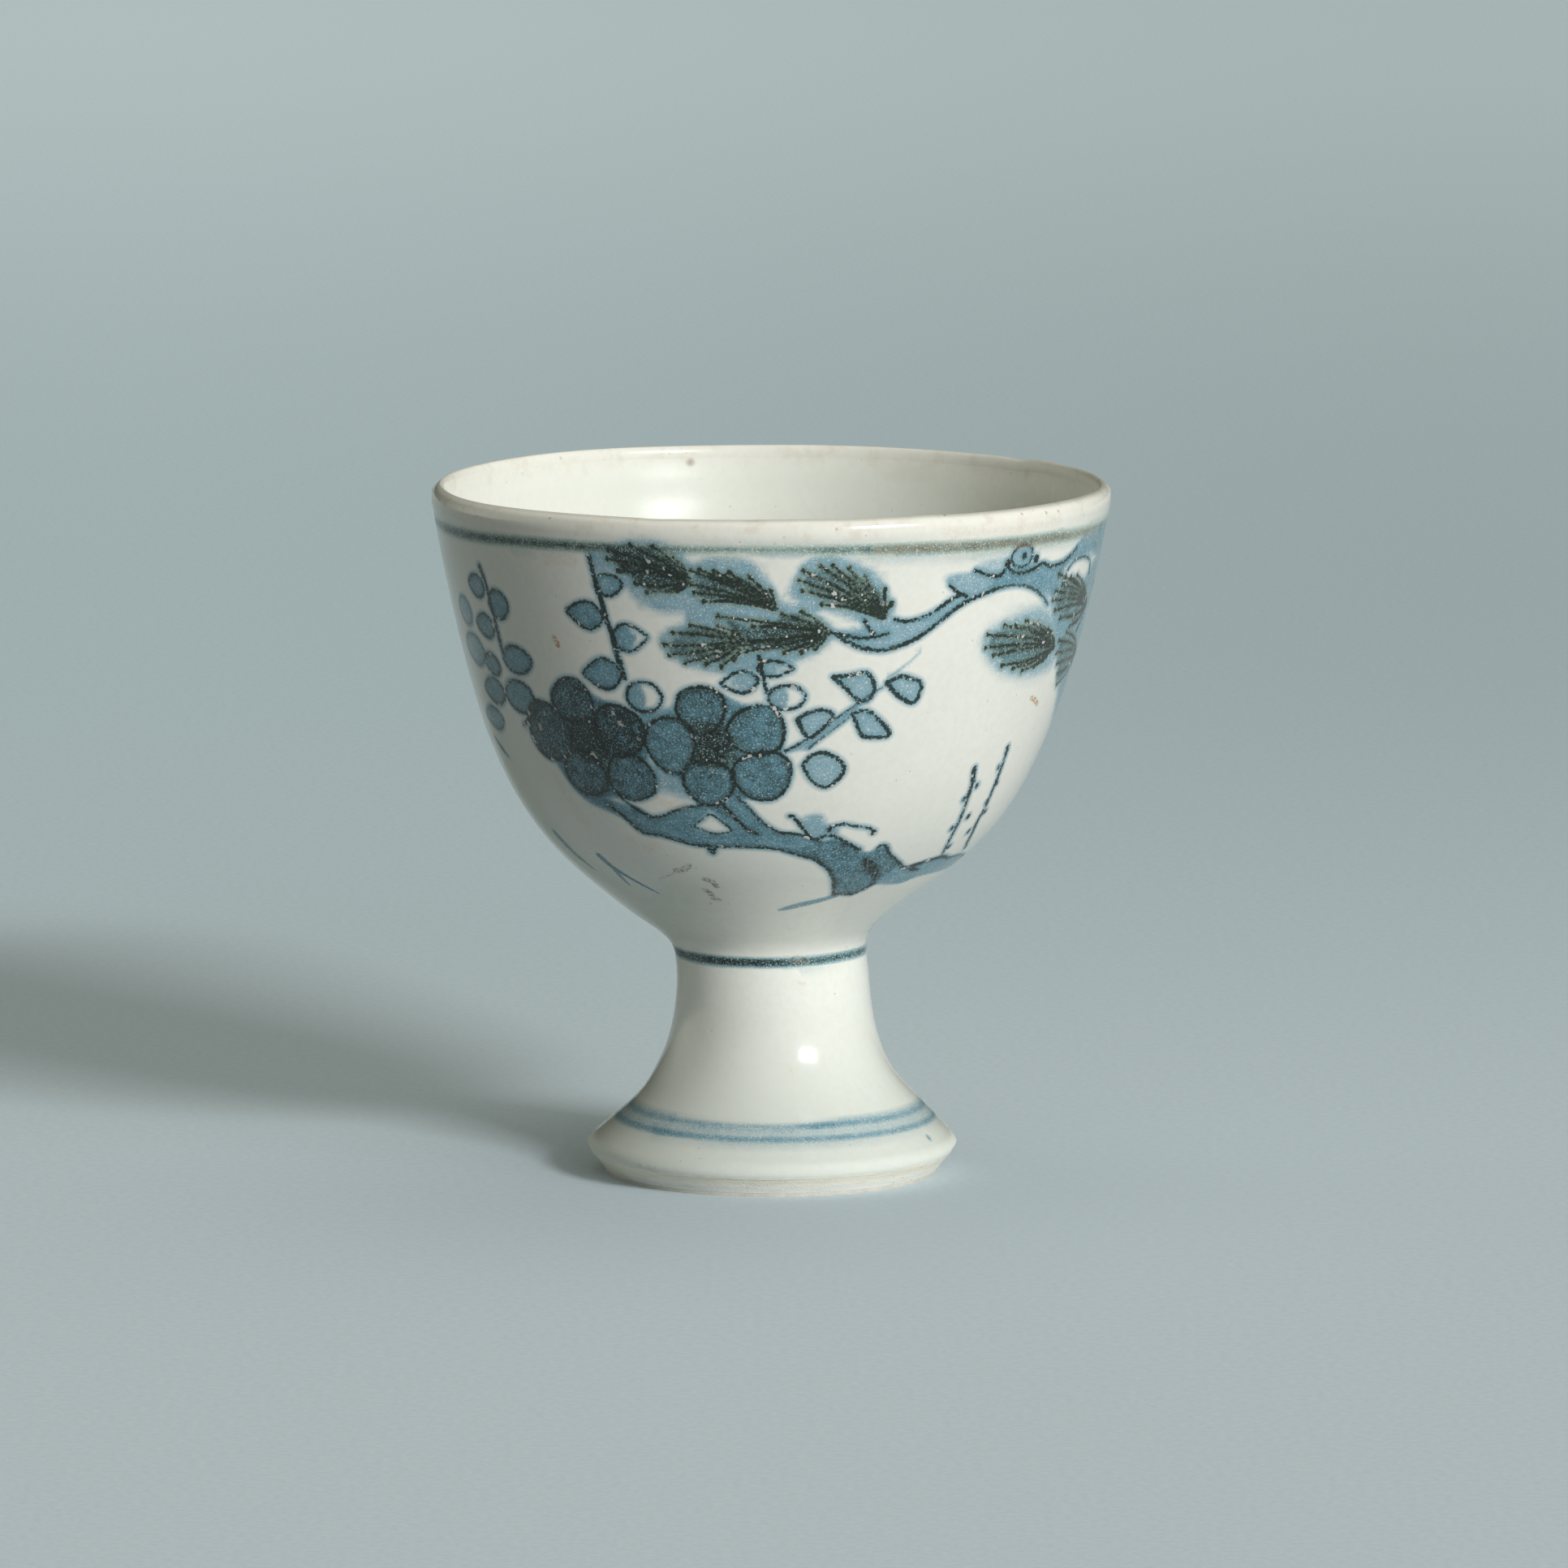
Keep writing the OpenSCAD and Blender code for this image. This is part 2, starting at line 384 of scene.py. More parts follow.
class Painting:
    """Brush marks on the unrolled outside, placed by angle in degrees and height in millimetres.

    Angle 0 faces the viewer and grows to the viewer's right. Widths are in millimetres.
    """

    def __init__(self, contour):
        self.contour = contour
        self.lines = []
        self.washes = []
        self.stains = []

    def place(self, points):
        """Angle and height turned into radians and distance along the profile."""
        p = np.asarray(points, float)
        return np.column_stack([np.radians(p[:, 0]), self.contour.along(p[:, 1])])

    def line(self, points, width, tone=0.9, olive=0.25, soft=0.0):
        """A brush line. Width and tone are one number or one for each point."""
        p = np.asarray(points, float)
        widths = np.broadcast_to(width, len(p))
        tones = np.broadcast_to(tone, len(p))
        path = spline(np.column_stack([self.place(p), widths, tones]))
        layer = self.washes if soft else self.lines
        layer.append({
            "path": path[:, :2],
            "half": path[:, 2] / 2,
            "tone": path[:, 3],
            "olive": olive,
            "soft": soft,
        })

    def stain(self, points, width, tone):
        """A brown mark that is not part of the painting."""
        path = self.place(points)
        halves = np.full(len(path), width / 2)
        tones = np.full(len(path), tone)
        self.stains.append({"path": path, "half": halves, "tone": tones, "soft": 0.15})

    def ring(self, keys, olive, soft):
        """A line all the way round, through keys of angle, height, width and tone."""
        keys = list(keys) + [(keys[0][0] + 360, *keys[0][1:])]
        k = np.array(keys, float)
        self.line(k[:, :2], k[:, 2], k[:, 3], olive, soft)

    def wash(self, points, tone, olive=0.0, soft=0.35):
        """A flat wash inside a closed outline."""
        path = spline(self.place(points), closed=True)
        self.washes.append({"path": path, "half": None, "tone": tone, "olive": olive, "soft": soft})

    def dot(self, centre, size, tone=0.9, olive=0.25):
        """A round touch of the brush tip."""
        a, z = centre
        self.line([(a, z - 0.05), (a, z + 0.05)], size, tone, olive)

    def outlined(self, outline, tone, width, ink, washed=None):
        """A closed outline in line, with a wash inside it or inside a smaller outline."""
        self.line(list(outline) + [outline[0]], width, ink)
        self.wash(washed or outline, tone, soft=0.22)

    def bud(self, base, tip, breadth, tone=0.36, point=1.0, bare=0.0, width=0.4, ink=0.85):
        """A bud from its base to its tip, round where point is 0 and pointed where it is 1.

        Bare is the share of it, at the tip, that the wash leaves white.
        """
        (a0, z0), (a1, z1) = base, tip
        middle_s = self.contour.along((z0 + z1) / 2)
        per_degree = self.contour.at(middle_s)[0] * math.pi / 180
        dx, dz = (a1 - a0) * per_degree, z1 - z0
        length = math.hypot(dx, dz)
        side = np.array([-dz, dx]) / length * breadth / 2
        t = np.array([0, 0.12, 0.35, 0.6, 0.85, 1])
        round_form = np.sqrt(np.clip(1 - (2 * t - 1) ** 2, 0, 1))
        almond = np.sin(math.pi * t**0.8) ** 0.9
        bulge = (1 - point) * round_form + point * almond

        def edge(reach, sign):
            along = [(a0 + s * reach * (a1 - a0), z0 + s * reach * dz) for s in t]
            aside = [(sign * b * side[0] / per_degree, sign * b * side[1]) for b in bulge]
            return [(a + da, z + dz_aside) for (a, z), (da, dz_aside) in zip(along, aside)]

        def form(reach):
            return edge(reach, 1) + edge(reach, -1)[-2:0:-1]

        self.outlined(form(1), tone, width, ink, form(1 - bare) if bare else None)

    def petal(self, centre, wide, high, tone, width=0.42, ink=0.85):
        """A round petal, as half width in degrees and half height in millimetres."""
        a, z = centre
        turn = np.radians(np.arange(0, 360, 36))
        swell = 1 + 0.05 * np.sin(3 * turn + a)
        outline = [
            (a + wide * k * math.cos(t), z + high * k * math.sin(t)) for t, k in zip(turn, swell)
        ]
        self.outlined(outline, tone, width, ink)

    def needles(self, pivot, tips, width=0.4, tone=0.84, bow=0.3, body=0.62):
        """A fan of pine needles drawn from a pivot out to their tips, each ended with a dot."""
        (a0, z0) = pivot
        spread = np.array([pivot] + list(tips), float)
        middle = spread.mean(0)
        order = np.argsort(np.arctan2((spread - middle)[:, 1] * 2, (spread - middle)[:, 0]))
        self.wash(middle + 0.92 * (spread - middle)[order], body, olive=0.28, soft=0.5)
        for a1, z1 in tips:
            middle = ((a0 + a1) / 2, (z0 + z1) / 2 + bow * np.sign(z1 - z0))
            self.line([pivot, middle, (a1, z1)], [width * 1.1, width, width * 0.85], tone, olive=1)
            self.dot((a1, z1), width * 1.3, tone, olive=1)

    def nearby(self, mark, angle, s, radius, margin):
        """Which places a mark can touch, with their angles counted from the mark's middle."""
        path = mark["path"]
        middle = (path[:, 0].min() + path[:, 0].max()) / 2
        reach = (path[:, 0].max() - path[:, 0].min()) / 2
        turned = (angle - middle + math.pi) % FULL_TURN - math.pi
        if reach > RING_REACH:
            reach = FULL_TURN
        hit = np.abs(turned) * radius < reach * radius + margin
        hit &= (s > path[:, 1].min() - margin) & (s < path[:, 1].max() + margin)
        index = np.nonzero(hit)[0]
        return index, turned[index], middle

    def distance(self, mark, turned, middle, s, radius):
        """Distance from places to a mark's line, and the tone of the nearest place on it."""
        best = np.full(len(s), np.inf)
        tone = np.zeros(len(s))
        path = mark["path"] - [middle, 0]
        closed = mark["half"] is None
        ends = np.vstack([path[1:], path[:1]]) if closed else path[1:]
        inside = np.zeros(len(s), bool)
        for k, ((a0, s0), (a1, s1)) in enumerate(zip(path, ends)):
            x0, y0 = (a0 - turned) * radius, s0 - s
            dx, dy = (a1 - a0) * radius, s1 - s0
            t = np.clip(-(x0 * dx + y0 * dy) / np.maximum(dx * dx + dy * dy, 1e-9), 0, 1)
            gap = np.hypot(x0 + t * dx, y0 + t * dy)
            if closed:
                if s0 != s1:
                    crosses = ((y0 > 0) != (y0 + dy > 0)) & (x0 - y0 * dx / (s1 - s0) > 0)
                    inside ^= crosses
                best = np.minimum(best, gap)
                continue
            gap = gap - (mark["half"][k] + t * (mark["half"][k + 1] - mark["half"][k]))
            nearer = gap < best
            best[nearer] = gap[nearer]
            tone[nearer] = (mark["tone"][k] + t * (mark["tone"][k + 1] - mark["tone"][k]))[nearer]
        if closed:
            best[inside] *= -1
            tone[:] = mark["tone"]
        return best, tone

    def touched(self, marks, angle, s, radius, margin):
        """Each mark with the places that it can touch, their distance to it and its tone there."""
        for mark in marks:
            index, turned, middle = self.nearby(mark, angle, s, radius, margin)
            if len(index):
                gap, tone = self.distance(mark, turned, middle, s[index], radius[index])
                yield mark, index, gap, tone

    def fields(self, angle, s):
        """Ink distance in millimetres, ink tone, wash, olive tint and brown stain at places."""
        radius = self.contour.at(s)[0]
        ink = np.full(len(s), INK_REACH)
        tone = np.full(len(s), 0.8)
        ink_olive = np.zeros(len(s))
        places = angle, s, radius
        margin = INK_REACH + INK_MARGIN
        for mark, index, gap, mark_tone in self.touched(self.lines, *places, margin):
            nearer = gap < ink[index]
            hit = index[nearer]
            ink[hit] = gap[nearer]
            tone[hit] = mark_tone[nearer]
            ink_olive[hit] = mark["olive"]
        wash = np.zeros(len(s))
        wash_olive = np.zeros(len(s))
        for mark, index, gap, mark_tone in self.touched(self.washes, *places, WASH_MARGIN):
            strength = mark_tone * (1 - ease(gap, -mark["soft"], mark["soft"]))
            stronger = strength > wash[index]
            hit = index[stronger]
            wash[hit] = strength[stronger]
            wash_olive[hit] = mark["olive"]
        stain = np.zeros(len(s))
        for mark, index, gap, mark_tone in self.touched(self.stains, *places, WASH_MARGIN):
            strength = mark_tone * (1 - ease(gap, -mark["soft"], mark["soft"]))
            stain[index] = np.maximum(stain[index], strength)
        near_ink = 1 - ease(ink, -0.1, 0.2)
        return ink, tone, wash, wash_olive + (ink_olive - wash_olive) * near_ink, stain


def paint_rings(brush):
    """Lines round the rim, the joint and the foot."""
    brush.ring([
        (-180, 57.4, 0.7, 0.55), (-140, 57.3, 0.7, 0.65), (-100, 57.15, 0.8, 0.8),
        (-70, 57.05, 0.85, 0.86), (-45, 57.25, 0.8, 0.8), (-32, 57.35, 0.85, 0.74),
        (-23, 57.45, 0.85, 0.76), (-14, 57.5, 0.7, 0.56), (0, 57.5, 0.75, 0.5),
        (15, 57.4, 0.85, 0.62), (35, 57.2, 1, 0.66), (55, 57.1, 1, 0.64), (70, 57, 0.9, 0.58),
        (100, 57.2, 0.7, 0.5), (140, 57.4, 0.7, 0.52),
    ], olive=0.85, soft=0.42)
    brush.line([
        (8, 56.8), (20, 56.7), (34, 56.4), (48, 56.5), (60, 56.6), (74, 56.5),
    ], 1, 0.16, 0.2, 0.6)
    brush.ring([
        (-180, 19.4, 0.75, 0.64), (-90, 19.4, 0.8, 0.75), (-45, 19.35, 0.85, 0.86),
        (-10, 19.35, 0.8, 0.86), (25, 19.4, 0.75, 0.76), (60, 19.5, 0.75, 0.76),
        (120, 19.4, 0.75, 0.64),
    ], olive=0.4, soft=0.26)
    brush.ring([
        (-180, 5.85, 0.6, 0.34), (-90, 5.9, 0.65, 0.38), (-50, 5.9, 0.65, 0.38),
        (-20, 5.8, 0.6, 0.3), (5, 5.8, 0.6, 0.3), (13, 5.8, 0.65, 0.5), (22, 5.85, 0.65, 0.54),
        (30, 5.9, 0.65, 0.42), (90, 5.9, 0.6, 0.38),
    ], olive=0, soft=0.36)
    brush.ring([
        (-180, 4.9, 0.7, 0.36), (-90, 4.95, 0.7, 0.4), (-55, 4.95, 0.7, 0.44),
        (-46, 4.9, 0.75, 0.55), (-36, 4.9, 0.7, 0.44), (-15, 4.85, 0.75, 0.4),
        (20, 4.85, 0.75, 0.38), (60, 4.9, 0.7, 0.38), (120, 4.9, 0.7, 0.36),
    ], olive=0, soft=0.36)
    brush.dot((64, 3.8), 0.28, 0.36, 0)
    brush.ring([
        (-180, 5.35, 1.2, 0.16), (-60, 5.4, 1.2, 0.18), (0, 5.3, 1.2, 0.16), (90, 5.4, 1.2, 0.16),
    ], olive=0, soft=0.3)


def paint_sprays(brush):
    """Upright prunus sprays with their buds, left of the blossoms."""
    brush.line([
        (-32, 56.6), (-31, 54), (-30.3, 52.5), (-29.7, 51), (-29, 50), (-28.3, 48), (-27.8, 47),
        (-27.3, 46),
    ], [0.6, 0.6, 0.65, 0.65, 0.65, 0.7, 0.7, 0.5])
    brush.bud((-31.5, 54), (-26, 54.3), 1.9, 0.46, point=0.4)
    brush.bud((-30.3, 51.2), (-38, 51.6), 2.4, 0.54)
    brush.bud((-29, 49.5), (-22, 49.8), 2.4, 0.5, bare=0.3)
    brush.bud((-27.8, 46.4), (-36.3, 46.2), 2.7, 0.55)
    brush.bud((-27.5, 44.4), (-20.2, 44.6), 2.6, 0.44, point=0, bare=0.45)

    brush.line([(-60.3, 54.4), (-59.3, 53.3), (-58.8, 52), (-58.3, 50), (-58, 48), (-57.8, 47)],
               [0.8, 0.6, 0.6, 0.6, 0.7, 0.6])
    for base, tip, breadth, point in [
        ((-60, 52.6), (-66, 52.7), 2, 0.5), ((-59.3, 51.2), (-53, 51.5), 2.5, 0.2),
        ((-59, 49.1), (-66, 49.2), 2.1, 0.5), ((-58, 46.5), (-49, 46.7), 2.4, 0.3),
        ((-60, 45.6), (-66.2, 45.9), 1.9, 0.4), ((-50.5, 43.3), (-60, 43.3), 2.8, 0),
        ((-60.5, 43.4), (-70, 43.2), 2.3, 0.7),
    ]:
        brush.bud(base, tip, breadth, 0.52, point, width=0.42)
    for base, tip, breadth, point in [
        ((-67.7, 50), (-74.5, 50), 2.5, 0.2), ((-65.5, 46.6), (-75.5, 46.7), 2.7, 0.3),
        ((-64.5, 40.8), (-75, 40.6), 2, 0.8),
    ]:
        brush.bud(base, tip, breadth, 0.36, point, width=0.42, ink=0.5)
    brush.line([(-56, 40.8), (-53, 41.6), (-50.5, 42.4)], 0.45, 0.8)
    brush.line([(-74, 38.6), (-71.5, 37.9), (-69, 37.3)], [0.4, 0.7, 0.3], 0.6)


def paint_blossoms(brush):
    """Two open prunus blossoms and the buds round them."""
    for centre, wide, high, tone in [
        ((-40, 43.6), 5, 2, 0.76), ((-48.3, 40.6), 6.2, 2.6, 0.79), ((-40.5, 37.2), 5.6, 2, 0.73),
        ((-29, 37.2), 5.6, 2.1, 0.69), ((-30, 41.3), 5.6, 2.3, 0.82),
        ((-12.8, 43.6), 4.7, 2.1, 0.69), ((-19.3, 40.4), 5.1, 2.5, 0.65),
        ((-12, 37.1), 5.5, 2, 0.67), ((-0.9, 37.8), 6, 2.2, 0.65), ((-2.2, 41.8), 5.5, 2.2, 0.65),
    ]:
        brush.petal(centre, wide, high, tone)
    brush.wash([
        (-45, 44.5), (-40, 45.6), (-35.5, 44.5), (-31, 43.7), (-26, 43), (-24.3, 41), (-24.5, 38.5),
        (-24, 37), (-27, 35.3), (-33, 35.2), (-38, 35.1), (-44, 35.6), (-46.5, 37.5), (-51, 38.5),
        (-53, 40.5), (-51, 42.7), (-46, 43.2),
    ], 0.66, soft=0.3)
    brush.wash([
        (-17, 44.5), (-12, 45.6), (-8, 44.8), (-4, 44), (2.5, 42.8), (3, 40), (5, 38), (1, 36),
        (-4, 35.7), (-8, 35.6), (-14, 35.2), (-17.5, 37), (-22, 38.2), (-24.3, 40.5), (-22.5, 42.5),
        (-17.8, 43),
    ], 0.6, soft=0.3)
    for a, z, wide, high, tone in [(-37.5, 40.3, 6.5, 2.8, 0.94), (-10.5, 40.2, 4.8, 2.3, 0.94)]:
        brush.wash(round_outline(a, z, wide, high, 45), tone, 0.5, soft=1.1)
    brush.wash([
        (-35, 42.8), (-30, 43.6), (-25, 42), (-25.5, 40), (-30, 39), (-34, 39.6),
    ], 0.82, 0.4, soft=0.8)
    brush.wash([
        (-46, 43), (-43, 41.5), (-44, 38.5), (-40, 38.6), (-36, 38.8), (-33, 38.5), (-34.5, 42.5),
        (-38, 42),
    ], 0.8, 0.4, soft=0.7)
    brush.wash([
        (-16.5, 42.5), (-8, 42.6), (-5, 39.8), (-6.5, 38.5), (-15.5, 38.4), (-15, 40.5),
    ], 0.8, 0.4, soft=0.6)
    brush.wash([(-25, 43.4), (-21, 43.4), (-16.5, 43.8), (-18, 42.5), (-24, 41.5)], 0.5, soft=0.5)
    brush.wash([
        (-25, 38.4), (-20, 38.2), (-17, 37.4), (-17, 35.6), (-21, 36), (-25, 36.2),
    ], 0.34, soft=0.7)
    brush.line([
        (-47.5, 37.6), (-44.5, 36), (-41, 35), (-37, 34.5), (-33, 34),
    ], [0.6, 1.1, 1.4, 1.5, 1.4], 0.6, 0, 0.3)

    brush.bud((-2, 46.3), (-8.8, 45.9), 1.9, 0.34, bare=0.25)
    brush.bud((-2.3, 47.3), (4.3, 47.3), 1.4, 0.34, bare=0.35)
    brush.bud((-0.3, 44.7), (6.7, 44.8), 2.1, 0.36, point=0, bare=0.45)
    brush.line([(-2, 48.4), (-1.5, 47.5), (-1, 46.3), (-0.5, 45.2)], 0.45)

    upper = [
        (3.5, 40), (7, 40.9), (10, 41.8), (12, 42.6), (14.5, 43.4), (17, 44.2), (19.8, 45.1),
        (22, 45.6),
    ]
    lower = [(8, 40.2), (10, 41), (12, 41.7), (14, 42.4), (15.5, 43)]
    widths = [0.4, 0.34, 0.32, 0.32, 0.32, 0.32, 0.3, 0.25]
    brush.line(upper, widths, [0.85, 0.75, 0.7, 0.7, 0.7, 0.65, 0.6, 0.5])
    brush.line(lower, 0.28, 0.6)
    brush.wash(upper[:7] + lower[::-1] + [(6, 40)], 0.36, soft=0.25)
    brush.line([(22, 46.3), (25, 47.2), (28.5, 48.6)], [0.3, 0.24, 0.12], 0.26, 0, 0.12)
    for outline in [
        [
            (5.3, 42.8), (7, 43.3), (9.5, 43.6), (11.5, 43.4), (12.2, 42.9), (10.5, 42), (8, 41.2),
            (6.5, 41.9),
        ],
        [
            (11.5, 46.5), (14.5, 46.6), (17.5, 46.8), (18.9, 46.2), (19.6, 45.3), (18.5, 44.3),
            (16.5, 44.4), (14, 45.5),
        ],
        [(21.8, 45.8), (24.5, 46.3), (27, 46), (29, 45.4), (28, 43.9), (24.5, 44.6)],
        [
            (15.8, 43.2), (18.5, 43.4), (21.5, 42.5), (23.9, 41.2), (21, 41), (18.5, 41.2),
            (17, 42.2),
        ],
        [
            (7, 38.7), (8.5, 39.5), (11, 39.8), (14, 39.2), (15.7, 38.2), (14, 37.1), (11.7, 36.7),
            (9, 37.4),
        ],
    ]:
        middle = np.mean(outline, axis=0)
        inner = [tuple(middle + 0.86 * (np.array(p) - middle)) for p in outline]
        brush.outlined(outline, 0.33, 0.5, 0.84, inner)


def paint_pine(brush):
    """Pine branch under the rim with its fans of needles."""
    brush.wash([
        (-31.5, 57.2), (-26, 58), (-20, 58.3), (-15.5, 57.6), (-13.3, 56.4), (-10, 56.9),
        (-4, 56.7), (-1, 55.4), (1.5, 53.3), (2.5, 51.8), (-4, 51.4), (-12, 52), (-19, 52),
        (-23.5, 53), (-26, 54.5), (-28, 55.4), (-31, 55.4),
    ], 0.36, soft=0.5)
    brush.wash([
        (-20, 49.6), (-17, 50.8), (-12, 51.3), (-4, 51.6), (6, 52.3), (11, 50.8), (10.5, 49.4),
        (5, 47.9), (-3, 47.1), (-10, 46.9), (-17, 47.8),
    ], 0.36, soft=0.5)
    brush.wash([
        (-14, 52.6), (-6, 52.4), (2, 52.2), (4, 51.4), (-6, 50.8), (-14, 50.9),
    ], 0.4, soft=0.6)
    brush.wash([(0.5, 53.6), (3, 53), (6, 53.2), (9, 52.4), (5, 51.4), (0, 51.6)], 0.34, soft=0.5)
    brush.wash([
        (3.4, 53.4), (4, 55), (6, 56.6), (10, 57.2), (14, 56.4), (18, 55.4), (20.7, 53.6), (22, 52),
        (19, 50.8), (12, 51.8),
    ], 0.36, soft=0.45)
    brush.wash([
        (41, 49), (43, 50), (48, 50.8), (54, 51.2), (60, 50.5), (66, 48), (66, 45.4), (60, 44.9),
        (54, 45), (47, 45.8), (42.5, 47.4),
    ], 0.31, soft=0.8)
    brush.wash([
        (58, 53.3), (65, 52.9), (72, 52.6), (78, 54.2), (86, 53.4), (91, 50), (93, 45), (90, 41.2),
        (84, 39.6), (79, 40.8), (75, 42.6), (69, 45), (63, 48), (60, 50.4),
    ], 0.44, soft=0.8)
    brush.wash([
        (37, 55.3), (40, 56), (44, 56.2), (46.5, 55.8), (45, 54.8), (41, 54.6),
    ], 0.25, soft=0.5)

    brush.needles((-13.5, 54.8), [
        (-28, 57.2), (-28.3, 56.4), (-26.5, 55.4), (-23.5, 54.4), (-21.5, 53.7), (-17.5, 53.8),
        (-24, 57.7), (-20, 57.7), (-16.5, 56.8),
    ], body=0.84)
    brush.needles((1, 52.4), [
        (-13.5, 55.7), (-12, 55.8), (-9.5, 55.7), (-7, 55.6), (-3.5, 55.2), (-13.5, 54.5),
        (-13, 53.8), (-11.5, 53.1), (0, 54),
    ], body=0.7)
    brush.line([(-6, 49.5), (2, 49.9), (10.5, 50.4)], 0.45, 0.82, olive=1)
    brush.needles((-4, 49.7), [
        (-17.2, 50.3), (-19, 49.2), (-18.2, 48.3), (-15.3, 47.7), (-11.5, 47.6), (-14, 51),
        (-9, 51), (-8.7, 47.4), (-6.3, 48.1),
    ], bow=0.15)
    brush.needles((10.5, 50.4), [
        (-4, 48.8), (2.5, 48.7), (5.5, 48.7), (8, 49), (2, 52), (5.5, 52.2), (-3, 51), (-9, 51.8),
    ], bow=0.12, body=0.76)
    brush.needles((20, 51.4), [
        (5.5, 55.7), (4.8, 54.9), (5.5, 54), (8.8, 52.8), (8.3, 56.1), (10.5, 56.1), (13.3, 55.8),
        (16, 55.1), (19.8, 53.9), (21.3, 52.7),
    ], body=0.6)
    brush.needles((64.5, 47.2), [
        (42.2, 49.3), (42.2, 48.2), (44.5, 47.4), (47.5, 46.4), (51, 46), (54, 45.6), (58, 45.8),
        (46, 50), (49, 49.9), (52, 50.1), (56, 49.7), (60, 49),
    ])
    brush.needles((80, 50), [
        (60, 53.7), (60, 52.2), (59.5, 51.5), (61, 50.5), (64, 49.7), (62, 52.7), (65, 53.2),
        (68, 53.2), (70, 48.6), (76, 48),
    ])
    brush.needles((84, 45.5), [
        (66, 47.6), (66.3, 46.5), (68, 45.5), (70, 44.5), (72, 43.4), (69, 48.2),
    ], tone=0.75)

    lower = [
        (10.5, 50.4), (13, 49.7), (16, 49), (19, 48.7), (21, 48.7), (25, 49.2), (28, 49.9),
        (31, 50.9), (34, 51.9), (37, 52.6), (40, 53), (44, 53.4), (48, 53.4), (52, 52.9),
        (55, 52.2), (58, 51.2),
    ]
    upper = [(22, 51.3), (24, 51.1), (27, 51.3), (30, 51.9), (33, 52.8), (35, 53.1)]
    brush.line(lower, [0.35] + [0.5] * 10 + [0.42] * 5, [0.85] * 11 + [0.6] * 5)
    brush.line(upper, 0.45)
    brush.line([(32, 54), (34, 53.3), (36, 52.9)], 0.42)
    brush.line([(10.5, 50.4), (13, 50.1), (16, 49.8), (19, 49.9), (21, 50.1)], 0.45)
    brush.line([(16.5, 51.3), (18, 50.3), (19.5, 50)], 0.4)
    brush.line([(37, 55.1), (39, 54.8), (41, 54.5), (43, 54.5), (44.5, 55.2)], 0.45)
    crown = [(44, 55.2), (40, 54.9), (36, 55), (31, 54.6)]
    brush.wash(lower[:12] + crown + upper[::-1] + [(14, 50.6)], 0.36)
    brush.wash([
        (40, 53.2), (48, 53.5), (56, 52.2), (62, 51.6), (62, 54.2), (70, 54.9), (78, 54.4),
        (90, 53), (93, 55), (89, 56.8), (80, 57.2), (68, 57), (64, 55.6), (58, 54.8), (52, 55.2),
        (46, 55), (42, 54.6),
    ], 0.5, soft=0.45)
    knot = round_outline(47.8, 55.9, 2.7, 0.95, 45, end=361)
    brush.line(knot, 0.36, 0.7)
    brush.wash(knot[:-1], 0.34, soft=0.3)
    brush.dot((48.2, 55.9), 0.7, 0.8)
    brush.dot((44.4, 55.4), 0.8)
    brush.dot((51.6, 55.5), 0.8)
    brush.line([
        (44, 55.3), (46, 54.6), (49, 54.4), (52, 54.7), (54, 55), (56, 54.6), (58, 54.6),
        (61, 54.8), (63, 55.2), (65, 55.8),
    ], 0.42)
    brush.line([(62.5, 53), (63, 53.9), (66, 54.7), (70, 54.7), (74, 54.1), (75, 53)], 0.4, 0.75)


